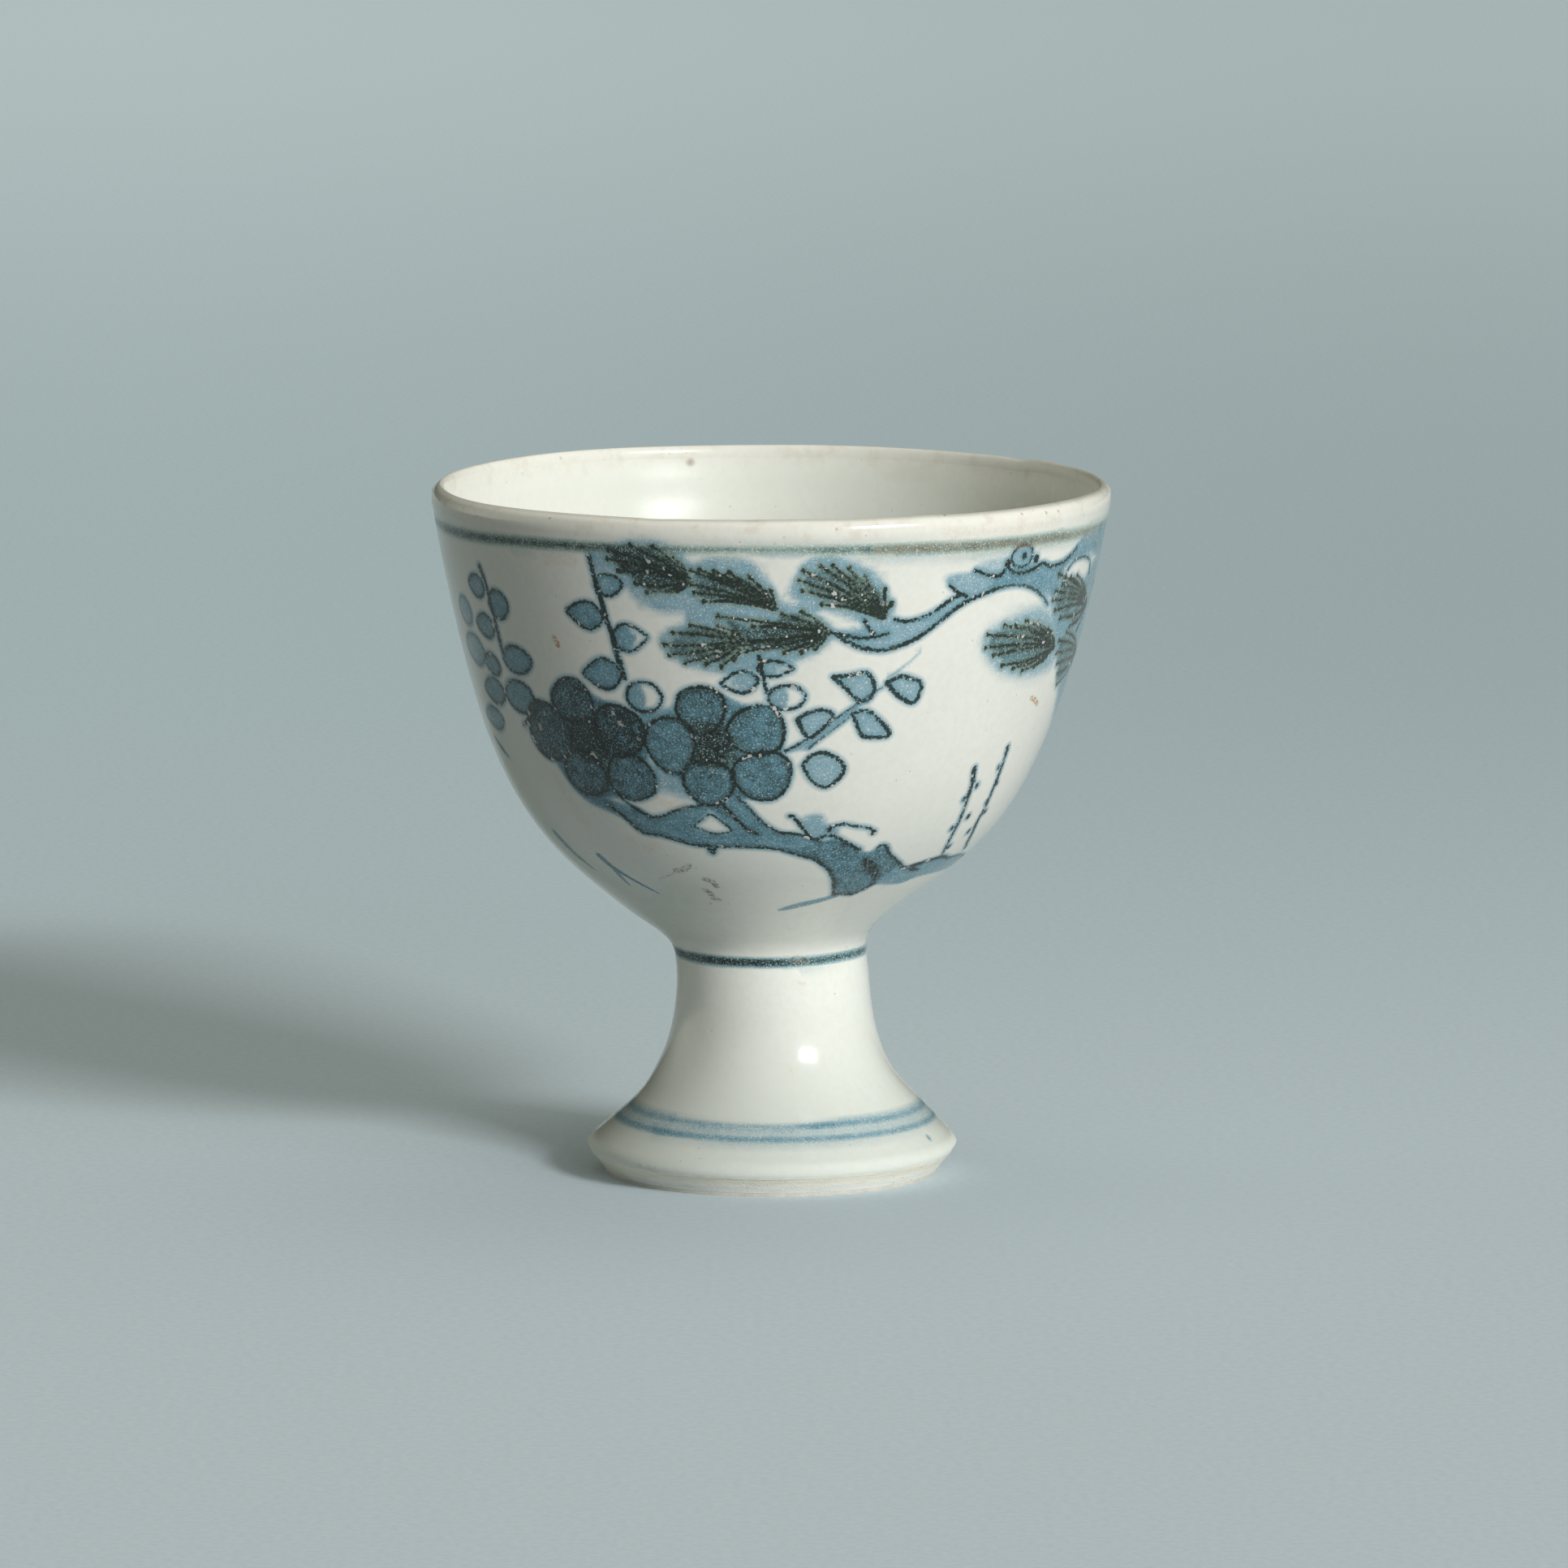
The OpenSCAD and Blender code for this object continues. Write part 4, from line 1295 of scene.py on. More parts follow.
class Finish:
    """A material under construction, with short ways to add its nodes."""

    def __init__(self, name):
        self.material = bpy.data.materials.new(name)
        self.material.use_nodes = True
        self.tree = self.material.node_tree
        self.shader = self.tree.nodes["Principled BSDF"]
        self.place = self.add("ShaderNodeTexCoord").outputs["Object"]

    def add(self, kind, **settings):
        return new_node(self.tree, kind, **settings)

    def feed(self, socket, value):
        """Links a socket to another, or sets its number or colour."""
        if isinstance(value, bpy.types.NodeSocket):
            self.tree.links.new(value, socket)
        elif socket.type == "RGBA":
            socket.default_value = rgba(value)
        else:
            socket.default_value = value

    def math(self, operation, a, b=0.0):
        node = self.add("ShaderNodeMath", operation=operation)
        self.feed(node.inputs[0], a)
        self.feed(node.inputs[1], b)
        return node.outputs[0]

    def times(self, a, b):
        return self.math("MULTIPLY", a, b)

    def plus(self, a, b):
        return self.math("ADD", a, b)

    def rest(self, value):
        """What a share leaves of the whole."""
        return self.math("SUBTRACT", 1, value)

    def rise(self, value, low, high, start=0.0, end=1.0):
        """Smooth step from start to end as a value goes from low to high."""
        node = self.add("ShaderNodeMapRange", interpolation_type="SMOOTHSTEP")
        for socket, number in zip(node.inputs, (value, low, high, start, end)):
            self.feed(socket, number)
        return node.outputs[0]

    def mix(self, share, a, b, mode="MIX"):
        node = self.add("ShaderNodeMix", data_type="RGBA", blend_type=mode)
        self.feed(node.inputs["Factor"], share)
        self.feed(node.inputs[6], a)
        self.feed(node.inputs[7], b)
        return node.outputs[2]

    def noise(self, size, detail=2.0, roughness=0.5, stretch=1.0):
        """Noise whose lumps are about so many millimetres across, and flatter by a stretch."""
        node = self.add("ShaderNodeTexNoise")
        place = self.place
        if stretch != 1:
            flat = self.add("ShaderNodeVectorMath", operation="MULTIPLY")
            self.feed(flat.inputs[0], place)
            flat.inputs[1].default_value = (1, 1, stretch)
            place = flat.outputs[0]
        self.feed(node.inputs["Vector"], place)
        node.inputs["Scale"].default_value = 1 / (size * MM)
        node.inputs["Detail"].default_value = detail
        node.inputs["Roughness"].default_value = roughness
        return node.outputs["Fac"]

    def specks(self, spacing, radius, share):
        """Round specks of a radius, in a share of cells about so far apart, in millimetres."""
        node = self.add("ShaderNodeTexVoronoi", feature="F1")
        self.feed(node.inputs["Vector"], self.place)
        node.inputs["Scale"].default_value = 1 / (spacing * MM)
        edge = radius / spacing
        dot = self.rise(node.outputs["Distance"], 0.6 * edge, edge, 1, 0)
        pick = self.add("ShaderNodeSeparateColor")
        self.feed(pick.inputs[0], node.outputs["Color"])
        chosen = self.math("LESS_THAN", pick.outputs[0], share)
        return self.times(dot, chosen)

    def height(self):
        """Height above the table in millimetres."""
        split = self.add("ShaderNodeSeparateXYZ")
        self.feed(split.inputs[0], self.place)
        return self.times(split.outputs["Z"], 1 / MM)

    def spot(self, centre, radii):
        """A soft spot, 1 in its middle, from a centre and radii in millimetres."""
        away = self.add("ShaderNodeVectorMath", operation="SUBTRACT")
        self.feed(away.inputs[0], self.place)
        away.inputs[1].default_value = [c * MM for c in centre]
        scaled = self.add("ShaderNodeVectorMath", operation="DIVIDE")
        self.feed(scaled.inputs[0], away.outputs[0])
        scaled.inputs[1].default_value = [r * MM for r in radii]
        size = self.add("ShaderNodeVectorMath", operation="LENGTH")
        self.feed(size.inputs[0], scaled.outputs[0])
        return self.rise(size.outputs["Value"], 0.2, 1, 1, 0)

    def attribute(self, name):
        return self.add("ShaderNodeAttribute", attribute_name=name).outputs["Fac"]

    def bump(self, height, distance):
        """Surface relief of a depth in millimetres."""
        node = self.add("ShaderNodeBump")
        node.inputs["Strength"].default_value = 1
        node.inputs["Distance"].default_value = distance * MM
        self.feed(node.inputs["Height"], height)
        self.feed(self.shader.inputs["Normal"], node.outputs[0])


# Spacing of the throwing ridges in millimetres, and depth of the pores as a share of the dimples
RIDGE_SPACING = 3.6
PORE_SHARE = 0.35

# Heights in millimetres between which a finish changes
FOOT_GLAZE_AND_SHADE_FADE = (4, 20)
LIP_WEAR = (58.8, 60.6)
BEVEL_EDGE = (2, 2.15)
DRY_EDGE = (2.4, 3.6)
TOASTED_EDGE = (0.9, 1.05)
SOIL_AND_SHADE_EDGE = (0.25, 0.42)

# Gloss and roughness of the finishes
GLAZE_IOR = 1.5
ROUGHNESS_RANGE = 0.06
PAINTED_GLOSS = 0.4
LINING_GLOSS = 0.22
LINING_EXTRA_ROUGHNESS = 0.12
BODY_ROUGHNESS = 0.62
SLIP_ROUGHNESS = 0.75

# Strengths of the pigment at which its colour is given, and the olive colours beside the cobalt
PIGMENT_STEPS = (0, 0.3, 0.55, 0.8, 1)
UNPAINTED = (1, 1, 1)
THIN_OLIVE = (0.55, 0.66, 0.63)
FULL_OLIVE = (0.22, 0.30, 0.27)
HEAPED_OLIVE = (0.014, 0.02, 0.016)


def glaze_colour(finish, look):
    """The bare glaze: a cool white that pools and thins, greener and darker towards the foot as
    glaze gathers there and as painted shade under the bowl, worn warm at the lip, with iron specks.
    """
    pools = finish.rise(finish.noise(14, 3), 0.35, 0.68)
    colour = finish.mix(pools, look.glaze_colour, look.pooled_colour)
    # Darker and greener towards the foot: glaze gathered there, and painted shade under the
    # overhanging bowl
    low = finish.rise(finish.height(), *FOOT_GLAZE_AND_SHADE_FADE, 1, 0)
    colour = finish.mix(low, colour, look.foot_colour)
    wear = finish.plus(finish.height(), finish.times(finish.noise(1.6, 4), 2.4))
    lip = finish.rise(wear, *LIP_WEAR, 0, 0.75)
    colour = finish.mix(lip, colour, look.lip_colour)
    iron = finish.specks(2.6, 0.16, 0.1)
    colour = finish.mix(finish.times(iron, 0.55), colour, look.iron_colour)
    cloudy = finish.rise(finish.noise(0.7, 4, 0.65), 0.35, 0.65, 0, 0.09)
    colour = finish.mix(cloudy, colour, look.smear_colour)
    pinholes = finish.times(finish.specks(1.3, 0.12, 0.3), 0.3)
    colour = finish.mix(pinholes, colour, look.iron_colour)
    smear = finish.times(finish.rise(finish.noise(2.6, 4, 0.6), 0.5, 0.7, 0, 0.5), lip)
    colour = finish.mix(smear, colour, look.smear_colour)
    rust = finish.times(finish.specks(1.1, 0.2, 0.3), lip)
    return finish.mix(finish.times(rust, 0.5), colour, look.iron_colour)


def glaze_surface(finish, look, ridges=0.0, extra_roughness=None):
    """Gloss and the faint dimpling of a fired glaze, over throwing ridges in millimetres."""
    dimple = finish.times(finish.noise(2.4, 2), look.dimple_depth / MM)
    pores = finish.times(finish.specks(0.9, 0.11, 0.35), -PORE_SHARE * look.dimple_depth / MM)
    relief = finish.plus(dimple, pores)
    if ridges:
        wander = finish.times(finish.noise(22, 1), 4)
        phase = finish.plus(finish.times(finish.height(), FULL_TURN / RIDGE_SPACING), wander)
        relief = finish.plus(relief, finish.times(finish.math("SINE", phase), ridges))
    finish.bump(relief, 1)
    least = look.glaze_roughness
    gloss = finish.rise(finish.noise(5, 3), 0.3, 0.7, least, least + ROUGHNESS_RANGE)
    if extra_roughness is not None:
        gloss = finish.plus(gloss, extra_roughness)
    finish.feed(finish.shader.inputs["Roughness"], gloss)
    finish.shader.inputs["IOR"].default_value = GLAZE_IOR


def pigment_tint(finish, look, pigment):
    """What the pigment leaves of the glaze's colour, from cobalt blue to olive."""

    def ramp(*colours):
        node = finish.add("ShaderNodeValToRGB")
        stops = node.color_ramp.elements
        while len(stops) < len(colours):
            stops.new(0.5)
        for stop, strength, colour in zip(stops, PIGMENT_STEPS, colours):
            stop.position = strength
            stop.color = rgba(colour)
        finish.feed(node.inputs["Fac"], pigment)
        return node.outputs["Color"]

    blues = (look.wash_colour, look.deep_colour, look.line_colour, look.heaped_colour)
    cobalt = ramp(UNPAINTED, *blues)
    olive = ramp(UNPAINTED, THIN_OLIVE, FULL_OLIVE, look.needle_colour, HEAPED_OLIVE)
    return finish.mix(finish.attribute("olive"), cobalt, olive)


def painted_finish(look):
    """Glaze over a cobalt painting, whose lines and washes the coat carries at its corners."""
    finish = Finish("painted_glaze")
    base = glaze_colour(finish, look)
    ink = finish.attribute("ink")
    washed = finish.attribute("wash")
    grain = finish.noise(0.24, 2, 0.7)
    pressed = finish.rise(finish.noise(3, 2), 0.3, 0.7, 0.52, 0.66)
    within = finish.times(finish.rise(ink, -0.24, 0.24, 1, 0), pressed)
    blue = finish.rest(finish.attribute("olive"))
    gathered = finish.times(finish.rise(washed, 0.55, 0.95, 0, 0.5), blue)
    heaped = finish.math("MAXIMUM", within, gathered)
    stipple = finish.rise(finish.plus(heaped, grain), 0.82, 1.06)
    line = finish.times(stipple, finish.attribute("ink_tone"))
    bleed = finish.rise(ink, -0.1, 0.42, look.bleed, 0)
    mottle = finish.rise(finish.noise(1.1, 3), 0.3, 0.7, 0.9, 1.1)
    uneven = finish.plus(mottle, finish.rise(grain, 0.35, 0.65, -0.1, 0.1))
    dust = finish.rise(finish.noise(0.14, 1), 0.56, 0.68, 1, 0.4)
    wash = finish.times(washed, finish.times(uneven, dust))
    clear = finish.times(finish.rest(wash), finish.rest(bleed))
    pigment = finish.rest(finish.times(clear, finish.rest(line)))
    colour = finish.mix(1.0, base, pigment_tint(finish, look, pigment), "MULTIPLY")

    stained = finish.attribute("stain")
    stain = finish.times(stained, finish.rise(grain, 0.42, 0.58, 0.15, 1))
    mark = finish.mix(finish.rise(stained, 0.36, 0.45), look.tan_colour, look.scuff_colour)
    mark = finish.mix(finish.rise(stained, 0.8, 0.9), mark, look.rust_colour)
    colour = finish.mix(stain, colour, mark)

    bubbles = finish.noise(0.62, 2)
    patches = finish.rise(finish.noise(4, 2), 0.38, 0.54)
    on_heaps = finish.times(finish.rise(heaped, 0.18, 0.4), patches)
    rims = finish.times(finish.rise(bubbles, 0.55, 0.62, 0, 0.7), on_heaps)
    colour = finish.mix(rims, colour, look.heaped_colour)
    # Pale flecks on the heaped pigment: partly burst bubble pits, partly painted glints off the
    # heaped pigment
    pit_and_glint = finish.times(finish.rise(bubbles, 0.625, 0.675, 0, 0.75), on_heaps)
    colour = finish.mix(pit_and_glint, colour, look.pit_and_glint_colour)

    foot = finish.plus(finish.height(), finish.times(finish.noise(1.4, 3), 0.5))
    thin = finish.rise(foot, *BEVEL_EDGE, 1, 0)
    colour = finish.mix(thin, colour, look.bevel_colour)
    finish.feed(finish.shader.inputs["Base Color"], colour)
    dry = finish.plus(finish.times(thin, 0.35), finish.rise(finish.height(), *DRY_EDGE, 0.6, 0))
    glaze_surface(finish, look, 0, finish.plus(finish.rise(pigment, 0.5, 1, 0, 0.1), dry))
    finish.shader.inputs["Specular IOR Level"].default_value = PAINTED_GLOSS
    return finish.material


# Brown spots inside the bowl: centre and radii in millimetres, and strength
LINING_SPOTS = [
    ((-7.2, 27.6, 58.6), (0.6, 3, 0.55), 0.55),
    ((22.6, 17.6, 58.6), (0.7, 1.5, 1), 0.3),
    ((23.4, 16.4, 57.2), (0.8, 1.5, 1), 0.25),
    ((12, 25, 57.8), (4, 4, 1.2), 0.06),
]


def lining_finish(look):
    """Plain glaze inside the bowl, darkened by a share of the foot's colour as painted shade."""
    finish = Finish("plain_glaze")
    # A share of the darker foot colour paints the shade inside the bowl
    colour = finish.mix(0.3, glaze_colour(finish, look), look.foot_colour)
    for centre, radii, share_of_brown in LINING_SPOTS:
        spot = finish.times(finish.spot(centre, radii), share_of_brown)
        colour = finish.mix(spot, colour, look.iron_colour)
    finish.feed(finish.shader.inputs["Base Color"], colour)
    glaze_surface(finish, look, look.ridge_depth / MM, LINING_EXTRA_ROUGHNESS)
    finish.shader.inputs["Specular IOR Level"].default_value = LINING_GLOSS
    return finish.material


def body_finish(look):
    """Bare fired porcelain, dry and faintly soiled, with turning lines at the foot and painted
    contact shadow along the bottom of the foot ring.
    """
    made = bpy.data.materials.get("bare_porcelain")
    if made:
        return made
    finish = Finish("bare_porcelain")
    toasted = finish.rise(finish.height(), *TOASTED_EDGE)
    colour = finish.mix(toasted, look.body_colour, look.bevel_colour)
    streaks = finish.rise(finish.noise(2.4, 4, 0.6, stretch=9), 0.45, 0.7, 0, 0.22)
    # Darker along the bottom of the foot ring: soil on the resting face, and painted contact shadow
    # where the ring meets the table
    soil_and_contact_shade = finish.rise(finish.height(), *SOIL_AND_SHADE_EDGE, 0.8, 0)
    soil_and_contact_shade = finish.times(soil_and_contact_shade, finish.rise(finish.noise(1.2, 4, 0.65), 0.3, 0.65, 0.8, 1))
    streaks_soil_and_shade = finish.math("MAXIMUM", streaks, soil_and_contact_shade)
    colour = finish.mix(streaks_soil_and_shade, colour, look.soil_and_shade_colour)
    grit = finish.times(finish.specks(0.8, 0.12, 0.2), 0.5)
    colour = finish.mix(grit, colour, look.iron_colour)
    finish.feed(finish.shader.inputs["Base Color"], colour)
    lines = finish.math("SINE", finish.times(finish.height(), 9))
    grain = finish.plus(finish.noise(0.25, 3), finish.times(lines, 0.15))
    finish.bump(grain, 0.04)
    finish.shader.inputs["Roughness"].default_value = BODY_ROUGHNESS
    return finish.material


def slip_finish(look):
    """Dried slip in the joint, a shade whiter and rougher than the body."""
    finish = Finish("luting_slip")
    lumps = finish.rise(finish.noise(1, 3), 0.3, 0.7)
    colour = finish.mix(lumps, look.body_colour, look.slip_colour)
    finish.feed(finish.shader.inputs["Base Color"], colour)
    finish.bump(finish.noise(0.5, 4, 0.6), 0.08)
    finish.shader.inputs["Roughness"].default_value = SLIP_ROUGHNESS
    return finish.material


# Distances in metres over which the floor's colour, a painted light and shade, and its bounce
# change, behind and round the cup
MIDDLE_FLOOR = (-0.05, 0.35)
FAR_FLOOR = (0.35, 1.4)
BOUNCE_FALL = (0.018, 0.08)
BOUNCE_RETURN = (0.2, 0.5)
# Slant from left to right over which the far floor dims as painted shade, how much, and where it
# begins
DRIFT_SLANT = 0.065
DRIFT_STRENGTH = 0.07
DRIFT_START = (0, 0.4)
FLOOR_ROUGHNESS = 0.8
FLOOR_GLOSS = 0.2


def floor_finish(stage):
    """Pale matt floor with painted light and shade: darker just behind the cup, paler far behind
    it, dimmer to the right, and darker round the cup for bounced light.
    """
    finish = Finish("floor")
    split = finish.add("ShaderNodeSeparateXYZ")
    finish.feed(split.inputs[0], finish.place)
    aside, behind = split.outputs["X"], split.outputs["Y"]
    # The floor's steps in colour with distance are painted light and shade
    colour = finish.mix(finish.rise(behind, *MIDDLE_FLOOR), stage.floor_colour, stage.middle_colour)
    colour = finish.mix(finish.rise(behind, *FAR_FLOOR), colour, stage.far_colour)
    reach = finish.add("ShaderNodeVectorMath", operation="LENGTH")
    finish.feed(reach.inputs[0], finish.place)
    # Painted shade: round the cup the floor turns darker for light that bounces off it, which
    # shades the cup's lower side; camera, glossy and transmission rays see it unchanged
    bounce = finish.rise(reach.outputs["Value"], *BOUNCE_FALL, 1, stage.floor_bounce)
    seen = finish.rise(reach.outputs["Value"], *BOUNCE_RETURN)
    rays = finish.add("ShaderNodeLightPath").outputs
    for kind in ("Is Camera Ray", "Is Glossy Ray", "Is Transmission Ray"):
        seen = finish.math("MAXIMUM", seen, rays[kind])
    dust = finish.rise(finish.noise(0.7, 3), 0.3, 0.7, 0.97, 1.03)
    # Besides the dust, this now carries that painted shade for bounced light
    dust = finish.times(dust, finish.math("MAXIMUM", bounce, seen))
    slant = finish.math("DIVIDE", aside, finish.plus(behind, 1))
    # Painted shade: the far floor dims towards the right
    drift = finish.rise(slant, -DRIFT_SLANT, DRIFT_SLANT, DRIFT_STRENGTH, -DRIFT_STRENGTH)
    drift = finish.times(drift, finish.rise(behind, *DRIFT_START))
    shade = finish.add("ShaderNodeVectorMath", operation="SCALE")
    finish.feed(shade.inputs[0], colour)
    finish.feed(shade.inputs["Scale"], finish.times(dust, finish.plus(drift, 1)))
    finish.feed(finish.shader.inputs["Base Color"], shade.outputs[0])
    finish.shader.inputs["Roughness"].default_value = FLOOR_ROUGHNESS
    finish.shader.inputs["Specular IOR Level"].default_value = FLOOR_GLOSS
    return finish.material


# Direction of the faint glow from the left, and how closely it gathers
LEFT_GLOW_AXIS = (-0.93, 0.36, 0.05)
LEFT_GLOW_FOCUS = 10
# Width of the camera's sensor in millimetres, and how far it sees in metres
SENSOR_WIDTH = 36
SIGHT_LIMIT = 100


def studio_world(stage):
    """Dim surrounding light, gathered overhead, with a faint glow from the left."""
    world = bpy.data.worlds.new("studio")
    world.use_nodes = True
    nodes, links = world.node_tree.nodes, world.node_tree.links
    background = nodes["Background"]
    background.inputs["Color"].default_value = rgba(stage.sky_colour)
    outward = nodes.new("ShaderNodeTexCoord").outputs["Generated"]

    def calculate(operation, a, b):
        step = nodes.new("ShaderNodeMath")
        step.operation = operation
        links.new(a, step.inputs[0])
        if isinstance(b, bpy.types.NodeSocket):
            links.new(b, step.inputs[1])
        else:
            step.inputs[1].default_value = b
        return step.outputs[0]

    def glow(axis, focus, level):
        facing = nodes.new("ShaderNodeVectorMath")
        facing.operation = "DOT_PRODUCT"
        facing.inputs[1].default_value = axis
        links.new(outward, facing.inputs[0])
        gathered = calculate("POWER", calculate("MAXIMUM", facing.outputs["Value"], 0), focus)
        return calculate("MULTIPLY", gathered, level)

    overhead_axis = (stage.sky_right, stage.sky_back, stage.sky_up)
    overhead = glow(overhead_axis, stage.sky_focus, stage.sky_level)
    left = glow(LEFT_GLOW_AXIS, LEFT_GLOW_FOCUS, stage.left_level)
    total = calculate("ADD", calculate("ADD", overhead, left), stage.sky_fill)
    links.new(total, background.inputs["Strength"])
    return world


def add_lamp(context, name, aim, lift, size, watts):
    """A rectangular soft light that faces the aim."""
    stage = context.scene.stem_cup_stage
    lamp = bpy.data.lights.new(name, "AREA")
    lamp.shape = "RECTANGLE"
    lamp.size, lamp.size_y = size
    lamp.energy = watts
    azimuth, elevation = math.radians(stage.key_azimuth), math.radians(lift)
    flat = math.cos(elevation)
    sideways = [flat * math.sin(azimuth), -flat * math.cos(azimuth)]
    toward_lamp = np.array([*sideways, math.sin(elevation)])
    lamp_object = bpy.data.objects.new(name, lamp)
    lamp_object.location = aim + toward_lamp * stage.key_distance
    lamp_object.rotation_euler = (math.pi / 2 - elevation, 0, azimuth)
    context.scene.collection.objects.link(lamp_object)
    return lamp_object


# Settings


def number(name, default, description, **limits):
    return FloatProperty(name=name, description=description, default=default, **limits)


def length(name, default, description):
    """A length in metres, from millimetres."""
    return number(name, default * MM, description, min=0, unit="LENGTH")


def share(name, default, description):
    return number(name, default, description, min=0, max=1, subtype="FACTOR")


def degrees(name, default, description):
    return number(name, default, description, min=0, max=90)


def power(name, default, description):
    return number(name, default, description, unit="POWER")


def colour(name, default, description):
    return FloatVectorProperty(
        name=name, description=description, default=default, size=3, min=0, max=1, subtype="COLOR"
    )


class StemCupSizes(bpy.types.PropertyGroup):
    """Sizes of the cup's half section"""

    cup_height: length("Height", CUP_HEIGHT / MM, "Height of the glazed cup")
    rim_diameter: length("Rim", 2 * RIM_RADIUS / MM, "Diameter across the lip")
    lip_thickness: length("Lip", 0.75, "Thickness of the porcelain at the lip")
    lip_fall: length("Lip fall", 0.8, "Height over which the lip rounds over to its crest")
    wall_thickness: length("Wall", 3, "Thickness of the wall where the belly begins")
    floor_height: length("Floor", BOWL_FLOOR / MM, "Height of the porcelain floor")
    under_diameter: length("Underside", 19.7, "Diameter where the neck runs into the belly")
    under_rise: length("Underside rise", 3.4, "Height of that place above the joint")
    neck_diameter: length("Neck", 16.6, "Diameter of the glazed stem at the joint")
    stem_top: length("Stem top", STEM_TOP / MM, "Height of the stem's top face")
    stem_wall: length("Stem wall", 2.7, "Wall of the stem at the joint")
    bore_height: length("Bore", 4, "Straight bore at the top of the stem")
    foot_diameter: length("Foot", 2 * BODY_FOOT_RADIUS / MM + 0.5, "Diameter of the glazed foot")
    foot_edge_height: length("Foot edge", 2.25, "Height of the foot's widest edge")
    foot_round: length("Foot rounding", 0.7, "Radius of the foot's edge")
    ring_diameter: length("Foot ring", 28.9, "Diameter of the bare foot ring")
    ring_height: length("Ring height", 0.3, "Upright height of the foot ring")
    ring_width: length("Ring width", 2.6, "Width of the resting face")
    boss_height: length("Boss", 1.8, "Depth of the boss under the bowl")
    slip_thickness: length("Slip", (SLIP_TOP - STEM_TOP) / MM, "Thickness of the luting slip")
    glaze_thickness: length("Glaze", 0.25, "Thickness of the glaze")
    glaze_lap: length("Glaze lap", 0.1, "Width by which the glaze laps over the foot's edge")
    lip_lean: degrees("Lip lean", 10, "Angle by which the wall leans out below the lip")
    under_slope: degrees("Underside slope", 40, "Slope of the underside")
    flare_slope: degrees("Flare slope", 45, "Slope of the flare at the foot")
    well_slope: degrees("Well slope", 52, "Slope of the well at the foot ring")
    lip_crest: share("Lip crest", 0.65, "Place of the crest, in from the outside of the lip")
    belly_low: share("Belly low", 0.27, "Fullness of the belly near the underside")
    belly_high: share("Belly high", 0.72, "Fullness of the belly near the lip")
    flare_neck: share("Flare neck", 0.57, "Hollow of the flare near the neck")
    flare_foot: share("Flare foot", 0.33, "Hollow of the flare near the foot")
    steps_round: IntProperty(
        name="Steps round", description="Faces round a turned piece", default=192, min=24
    )

    def length_names(self):
        """Names of the properties that are lengths."""
        return [p.identifier for p in self.bl_rna.properties if p.unit == "LENGTH"]


class StemCupLook(bpy.types.PropertyGroup):
    """Colours and surface of the glaze, the painting and the bare porcelain"""

    glaze_colour: colour("Glaze", (0.695, 0.704, 0.64), "Cool white of the glaze")
    pooled_colour: colour("Pooled glaze", (0.66, 0.68, 0.62), "Glaze where it lies thick")
    # Also painted shade: it darkens the glaze towards the foot, and a share of it darkens the
    # lining
    foot_colour: colour("Foot glaze", (0.57, 0.60, 0.545), "Greener glaze gathered on the foot")
    lip_colour: colour("Lip", (0.69, 0.68, 0.605), "Worn warm glaze on the lip")
    smear_colour: colour("Lip smears", (0.50, 0.40, 0.29), "Brown smears on the lip")
    rust_colour: colour("Rust", (0.52, 0.21, 0.03), "Rust spots on the glaze")
    scuff_colour: colour("Scuffs", (0.15, 0.125, 0.10), "Brown-grey scuffs and smudges")
    tan_colour: colour("Tan", (0.56, 0.42, 0.28), "Faint tan smudges")
    iron_colour: colour("Iron specks", (0.17, 0.11, 0.06), "Specks that burn through the glaze")
    wash_colour: colour("Wash", (0.33, 0.515, 0.65), "Thin cobalt wash")
    deep_colour: colour("Deep wash", (0.15, 0.33, 0.445), "Full cobalt wash")
    line_colour: colour("Line", (0.042, 0.07, 0.075), "Cobalt line")
    heaped_colour: colour("Heaped", (0.013, 0.019, 0.018), "Cobalt heaped to black")
    needle_colour: colour("Needles", (0.05, 0.08, 0.072), "Olive black of the needles")
    # Pale flecks: burst pits, and painted glints off the heaped pigment
    pit_and_glint_colour: colour("Burst bubbles", (0.64, 0.65, 0.59), "Pale pits in the heaped lines")
    body_colour: colour("Body", (0.69, 0.685, 0.625), "Bare fired porcelain")
    bevel_colour: colour("Bevel", (0.70, 0.67, 0.565), "Porcelain toasted beside the glaze")
    # Also paints the contact shadow along the bottom of the foot ring
    soil_and_shade_colour: colour("Soil", (0.34, 0.32, 0.27), "Old soil on the bare foot")
    slip_colour: colour("Slip", (0.70, 0.68, 0.60), "Dried luting slip")
    glaze_roughness: share("Glaze roughness", 0.11, "Roughness of the glaze")
    dimple_depth: length("Dimples", 0.012, "Depth of the dimples in the glaze")
    ridge_depth: length("Ridges", 0.018, "Depth of the throwing ridges inside the bowl")
    bleed: share("Bleed", 0.26, "Strength of the blue that bleeds round a line")


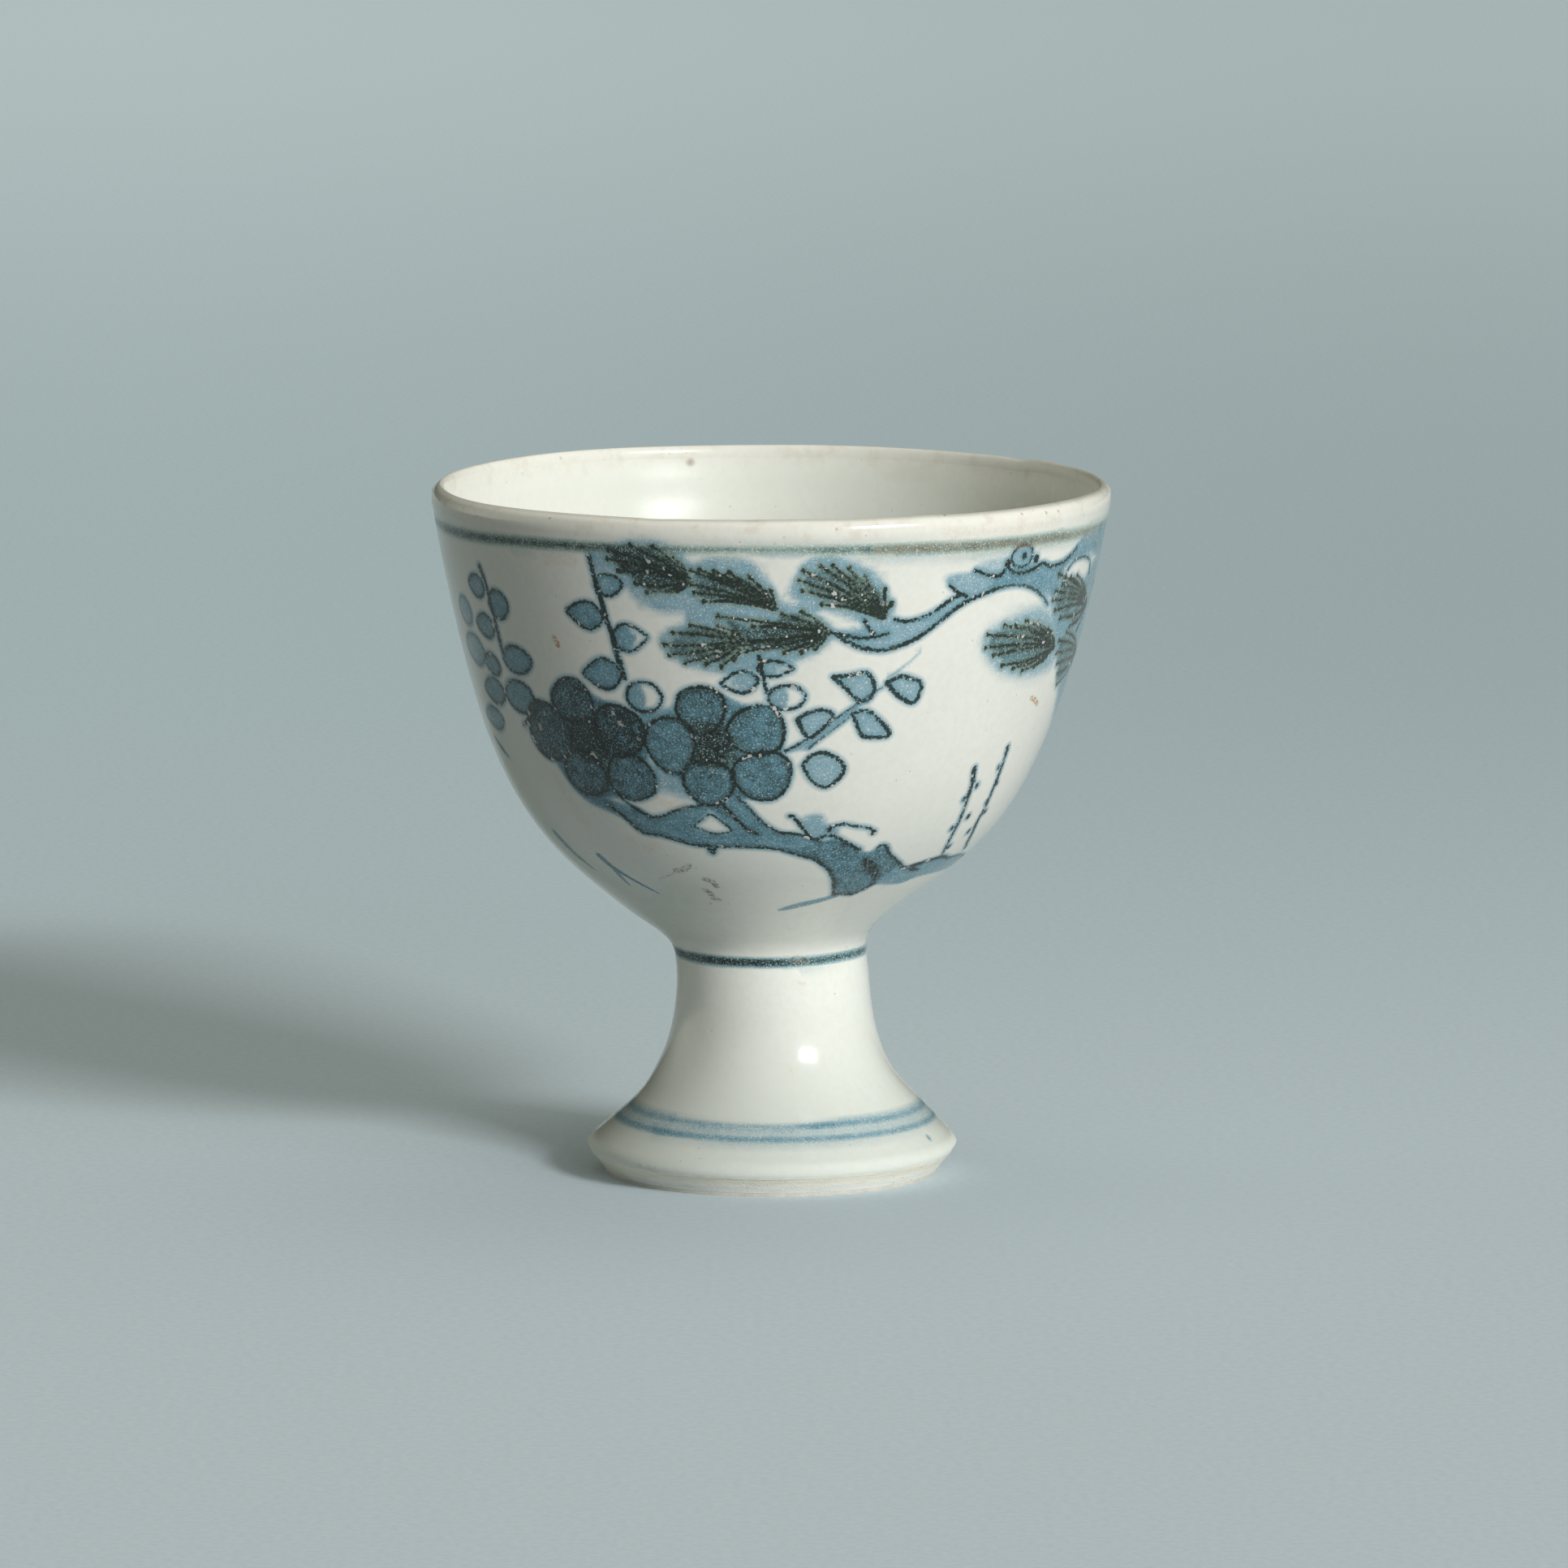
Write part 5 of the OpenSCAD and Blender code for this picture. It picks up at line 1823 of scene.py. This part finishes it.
class StemCupStage(bpy.types.PropertyGroup):
    """Floor, light and camera"""

    # The floor colours step from near to far as painted light and shade
    floor_colour: colour("Floor", (0.54, 0.625, 0.67), "Pale floor before the cup")
    middle_colour: colour("Middle floor", (0.47, 0.573, 0.62), "Pale floor behind the cup")
    far_colour: colour("Far floor", (0.675, 0.80, 0.86), "Pale floor far behind the cup")
    floor_bounce: share("Floor bounce", 0.1, "Share of its light that the near floor throws back")
    floor_size: length("Floor size", 30000, "Side of the floor")
    sky_colour: colour("Surrounding light", (0.985, 1, 0.86), "Tint of the surrounding light")
    sky_level: number("Surround level", 1.07, "Strength of the light overhead")
    sky_focus: number("Surround focus", 6, "How far it gathers overhead")
    sky_fill: number("Surround fill", 0.02, "Strength of the light all round")
    left_level: number("Left glow", 1.75, "Strength of the glow from the left")
    sky_right: number("Surround right", 0.12, "Lean of the bright part to the right")
    sky_back: number("Surround back", 0.25, "Lean of the bright part to the back")
    sky_up: number("Surround up", 0.96, "Height of the bright part")
    key_power: power("Key", 470, "Power of the key light")
    spill_power: power("Spill", 430, "Power of the broad light round it")
    key_distance: length("Key distance", 8000, "Distance of the lights")
    key_width: length("Key width", 2200, "Width of the key light")
    key_height: length("Key height", 650, "Height of the key light")
    spill_width: length("Spill width", 9000, "Width of the broad light")
    spill_height: length("Spill height", 4000, "Height of the broad light")
    key_azimuth: degrees("Key azimuth", 40, "How far the lights stand to the right")
    key_elevation: degrees("Key elevation", 24, "How high the key light stands")
    spill_elevation: degrees("Spill elevation", 14, "How high the broad light stands")
    camera_distance: length("Camera distance", 1000, "Distance of the camera from its aim")
    camera_elevation: degrees("Camera elevation", 8.093, "How far the camera looks down")
    aim_right: length("Aim right", 1.084, "Aim to the right of the axis")
    aim_height: length("Aim height", 33.694, "Height of the aim")
    focal_length: number("Focal length", 265.55, "Lens in millimetres")


# Operators


def add_turned(context, node, section, finish):
    """Turns a section in millimetres and places it as the visible piece for a solid."""
    mesh = turned_mesh(node, section, context.scene.stem_cup_sizes.steps_round, finish)
    add_piece(mesh, node, finish)


class STEM_CUP_OT_bowl(bpy.types.Operator):
    """Turn the bowl with its boss"""

    bl_idname = "stem_cup.bowl"
    bl_label = "Bowl"

    def execute(self, context):
        section = CupProfile(context.scene.stem_cup_sizes).bowl()
        finish = body_finish(context.scene.stem_cup_look)
        add_turned(context, "bowl", section, finish)
        return {"FINISHED"}


class STEM_CUP_OT_stem(bpy.types.Operator):
    """Turn the hollow stem with its foot ring"""

    bl_idname = "stem_cup.stem"
    bl_label = "Stem"

    def execute(self, context):
        section = CupProfile(context.scene.stem_cup_sizes).stem()
        finish = body_finish(context.scene.stem_cup_look)
        add_turned(context, "stem", section, finish)
        return {"FINISHED"}


class STEM_CUP_OT_luting_slip(bpy.types.Operator):
    """Turn the slip that joins the bowl to the stem"""

    bl_idname = "stem_cup.luting_slip"
    bl_label = "Luting slip"

    def execute(self, context):
        section = CupProfile(context.scene.stem_cup_sizes).slip()
        finish = slip_finish(context.scene.stem_cup_look)
        add_turned(context, "luting_slip", section, finish)
        return {"FINISHED"}


class STEM_CUP_OT_lining_glaze(bpy.types.Operator):
    """Turn the coat of glaze inside the bowl"""

    bl_idname = "stem_cup.lining_glaze"
    bl_label = "Lining glaze"

    def execute(self, context):
        profile = CupProfile(context.scene.stem_cup_sizes)
        section = np.vstack([profile.lining(0), profile.lining(profile.glaze)[::-1]])
        finish = lining_finish(context.scene.stem_cup_look)
        add_turned(context, "lining_glaze", section, finish)
        return {"FINISHED"}


class STEM_CUP_OT_outer_glaze(bpy.types.Operator):
    """Build the outer coat of glaze with the painting under it"""

    bl_idname = "stem_cup.outer_glaze"
    bl_label = "Painted outer glaze"

    def execute(self, context):
        scene = context.scene
        mesh = painted_coat(CupProfile(scene.stem_cup_sizes))
        add_piece(mesh, "outer_glaze", painted_finish(scene.stem_cup_look))
        return {"FINISHED"}


class STEM_CUP_OT_stage(bpy.types.Operator):
    """Set the pale floor, the soft light and the camera"""

    bl_idname = "stem_cup.stage"
    bl_label = "Stage"

    def execute(self, context):
        stage = context.scene.stem_cup_stage
        half = stage.floor_size / 2
        mesh = bpy.data.meshes.new("floor")
        corners = [(-half, -half, 0), (half, -half, 0), (half, half, 0), (-half, half, 0)]
        mesh.from_pydata(corners, [], [(0, 1, 2, 3)])
        floor = bpy.data.objects.new("floor", mesh)
        context.scene.collection.objects.link(floor)
        mesh.materials.append(floor_finish(stage))

        context.scene.world = studio_world(stage)
        aim = np.array([stage.aim_right, 0, stage.aim_height])
        size = (stage.key_width, stage.key_height)
        add_lamp(context, "key", aim, stage.key_elevation, size, stage.key_power)
        size = (stage.spill_width, stage.spill_height)
        spill = add_lamp(context, "spill", aim, stage.spill_elevation, size, stage.spill_power)
        spill.visible_glossy = False

        down = math.radians(stage.camera_elevation)
        lens = bpy.data.cameras.new("camera")
        lens.lens = stage.focal_length
        lens.sensor_width = SENSOR_WIDTH
        lens.clip_end = SIGHT_LIMIT
        camera = bpy.data.objects.new("camera", lens)
        toward_camera = np.array([0, -math.cos(down), math.sin(down)])
        camera.location = aim + stage.camera_distance * toward_camera
        camera.rotation_euler = (math.pi / 2 - down, 0, 0)
        context.scene.collection.objects.link(camera)
        context.scene.camera = camera
        context.scene.view_settings.view_transform = "Standard"
        return {"FINISHED"}


class STEM_CUP_PT_panel(bpy.types.Panel):
    """Lists the pieces of the cup and its stage"""

    bl_label = "Stem Cup"
    bl_idname = "STEM_CUP_PT_panel"
    bl_space_type = "VIEW_3D"
    bl_region_type = "UI"
    bl_category = "Stem Cup"

    def draw(self, context):
        for step in STEPS:
            self.layout.operator(step.bl_idname)
        scene = context.scene
        for group in (scene.stem_cup_sizes, scene.stem_cup_look, scene.stem_cup_stage):
            for prop in group.bl_rna.properties:
                if not prop.is_readonly and prop.identifier != "name":
                    self.layout.prop(group, prop.identifier)


STEPS = (
    STEM_CUP_OT_bowl,
    STEM_CUP_OT_stem,
    STEM_CUP_OT_luting_slip,
    STEM_CUP_OT_lining_glaze,
    STEM_CUP_OT_outer_glaze,
    STEM_CUP_OT_stage,
)
CLASSES = (StemCupSizes, StemCupLook, StemCupStage, *STEPS, STEM_CUP_PT_panel)


def register():
    for cls in CLASSES:
        bpy.utils.register_class(cls)
    bpy.types.Scene.stem_cup_sizes = PointerProperty(type=StemCupSizes)
    bpy.types.Scene.stem_cup_look = PointerProperty(type=StemCupLook)
    bpy.types.Scene.stem_cup_stage = PointerProperty(type=StemCupStage)


def unregister():
    del bpy.types.Scene.stem_cup_stage
    del bpy.types.Scene.stem_cup_look
    del bpy.types.Scene.stem_cup_sizes
    for cls in reversed(CLASSES):
        bpy.utils.unregister_class(cls)


def main():
    register()
    bpy.ops.stem_cup.bowl()
    bpy.ops.stem_cup.stem()
    bpy.ops.stem_cup.luting_slip()
    bpy.ops.stem_cup.lining_glaze()
    bpy.ops.stem_cup.outer_glaze()
    bpy.ops.stem_cup.stage()


if __name__ == "__main__":
    main()
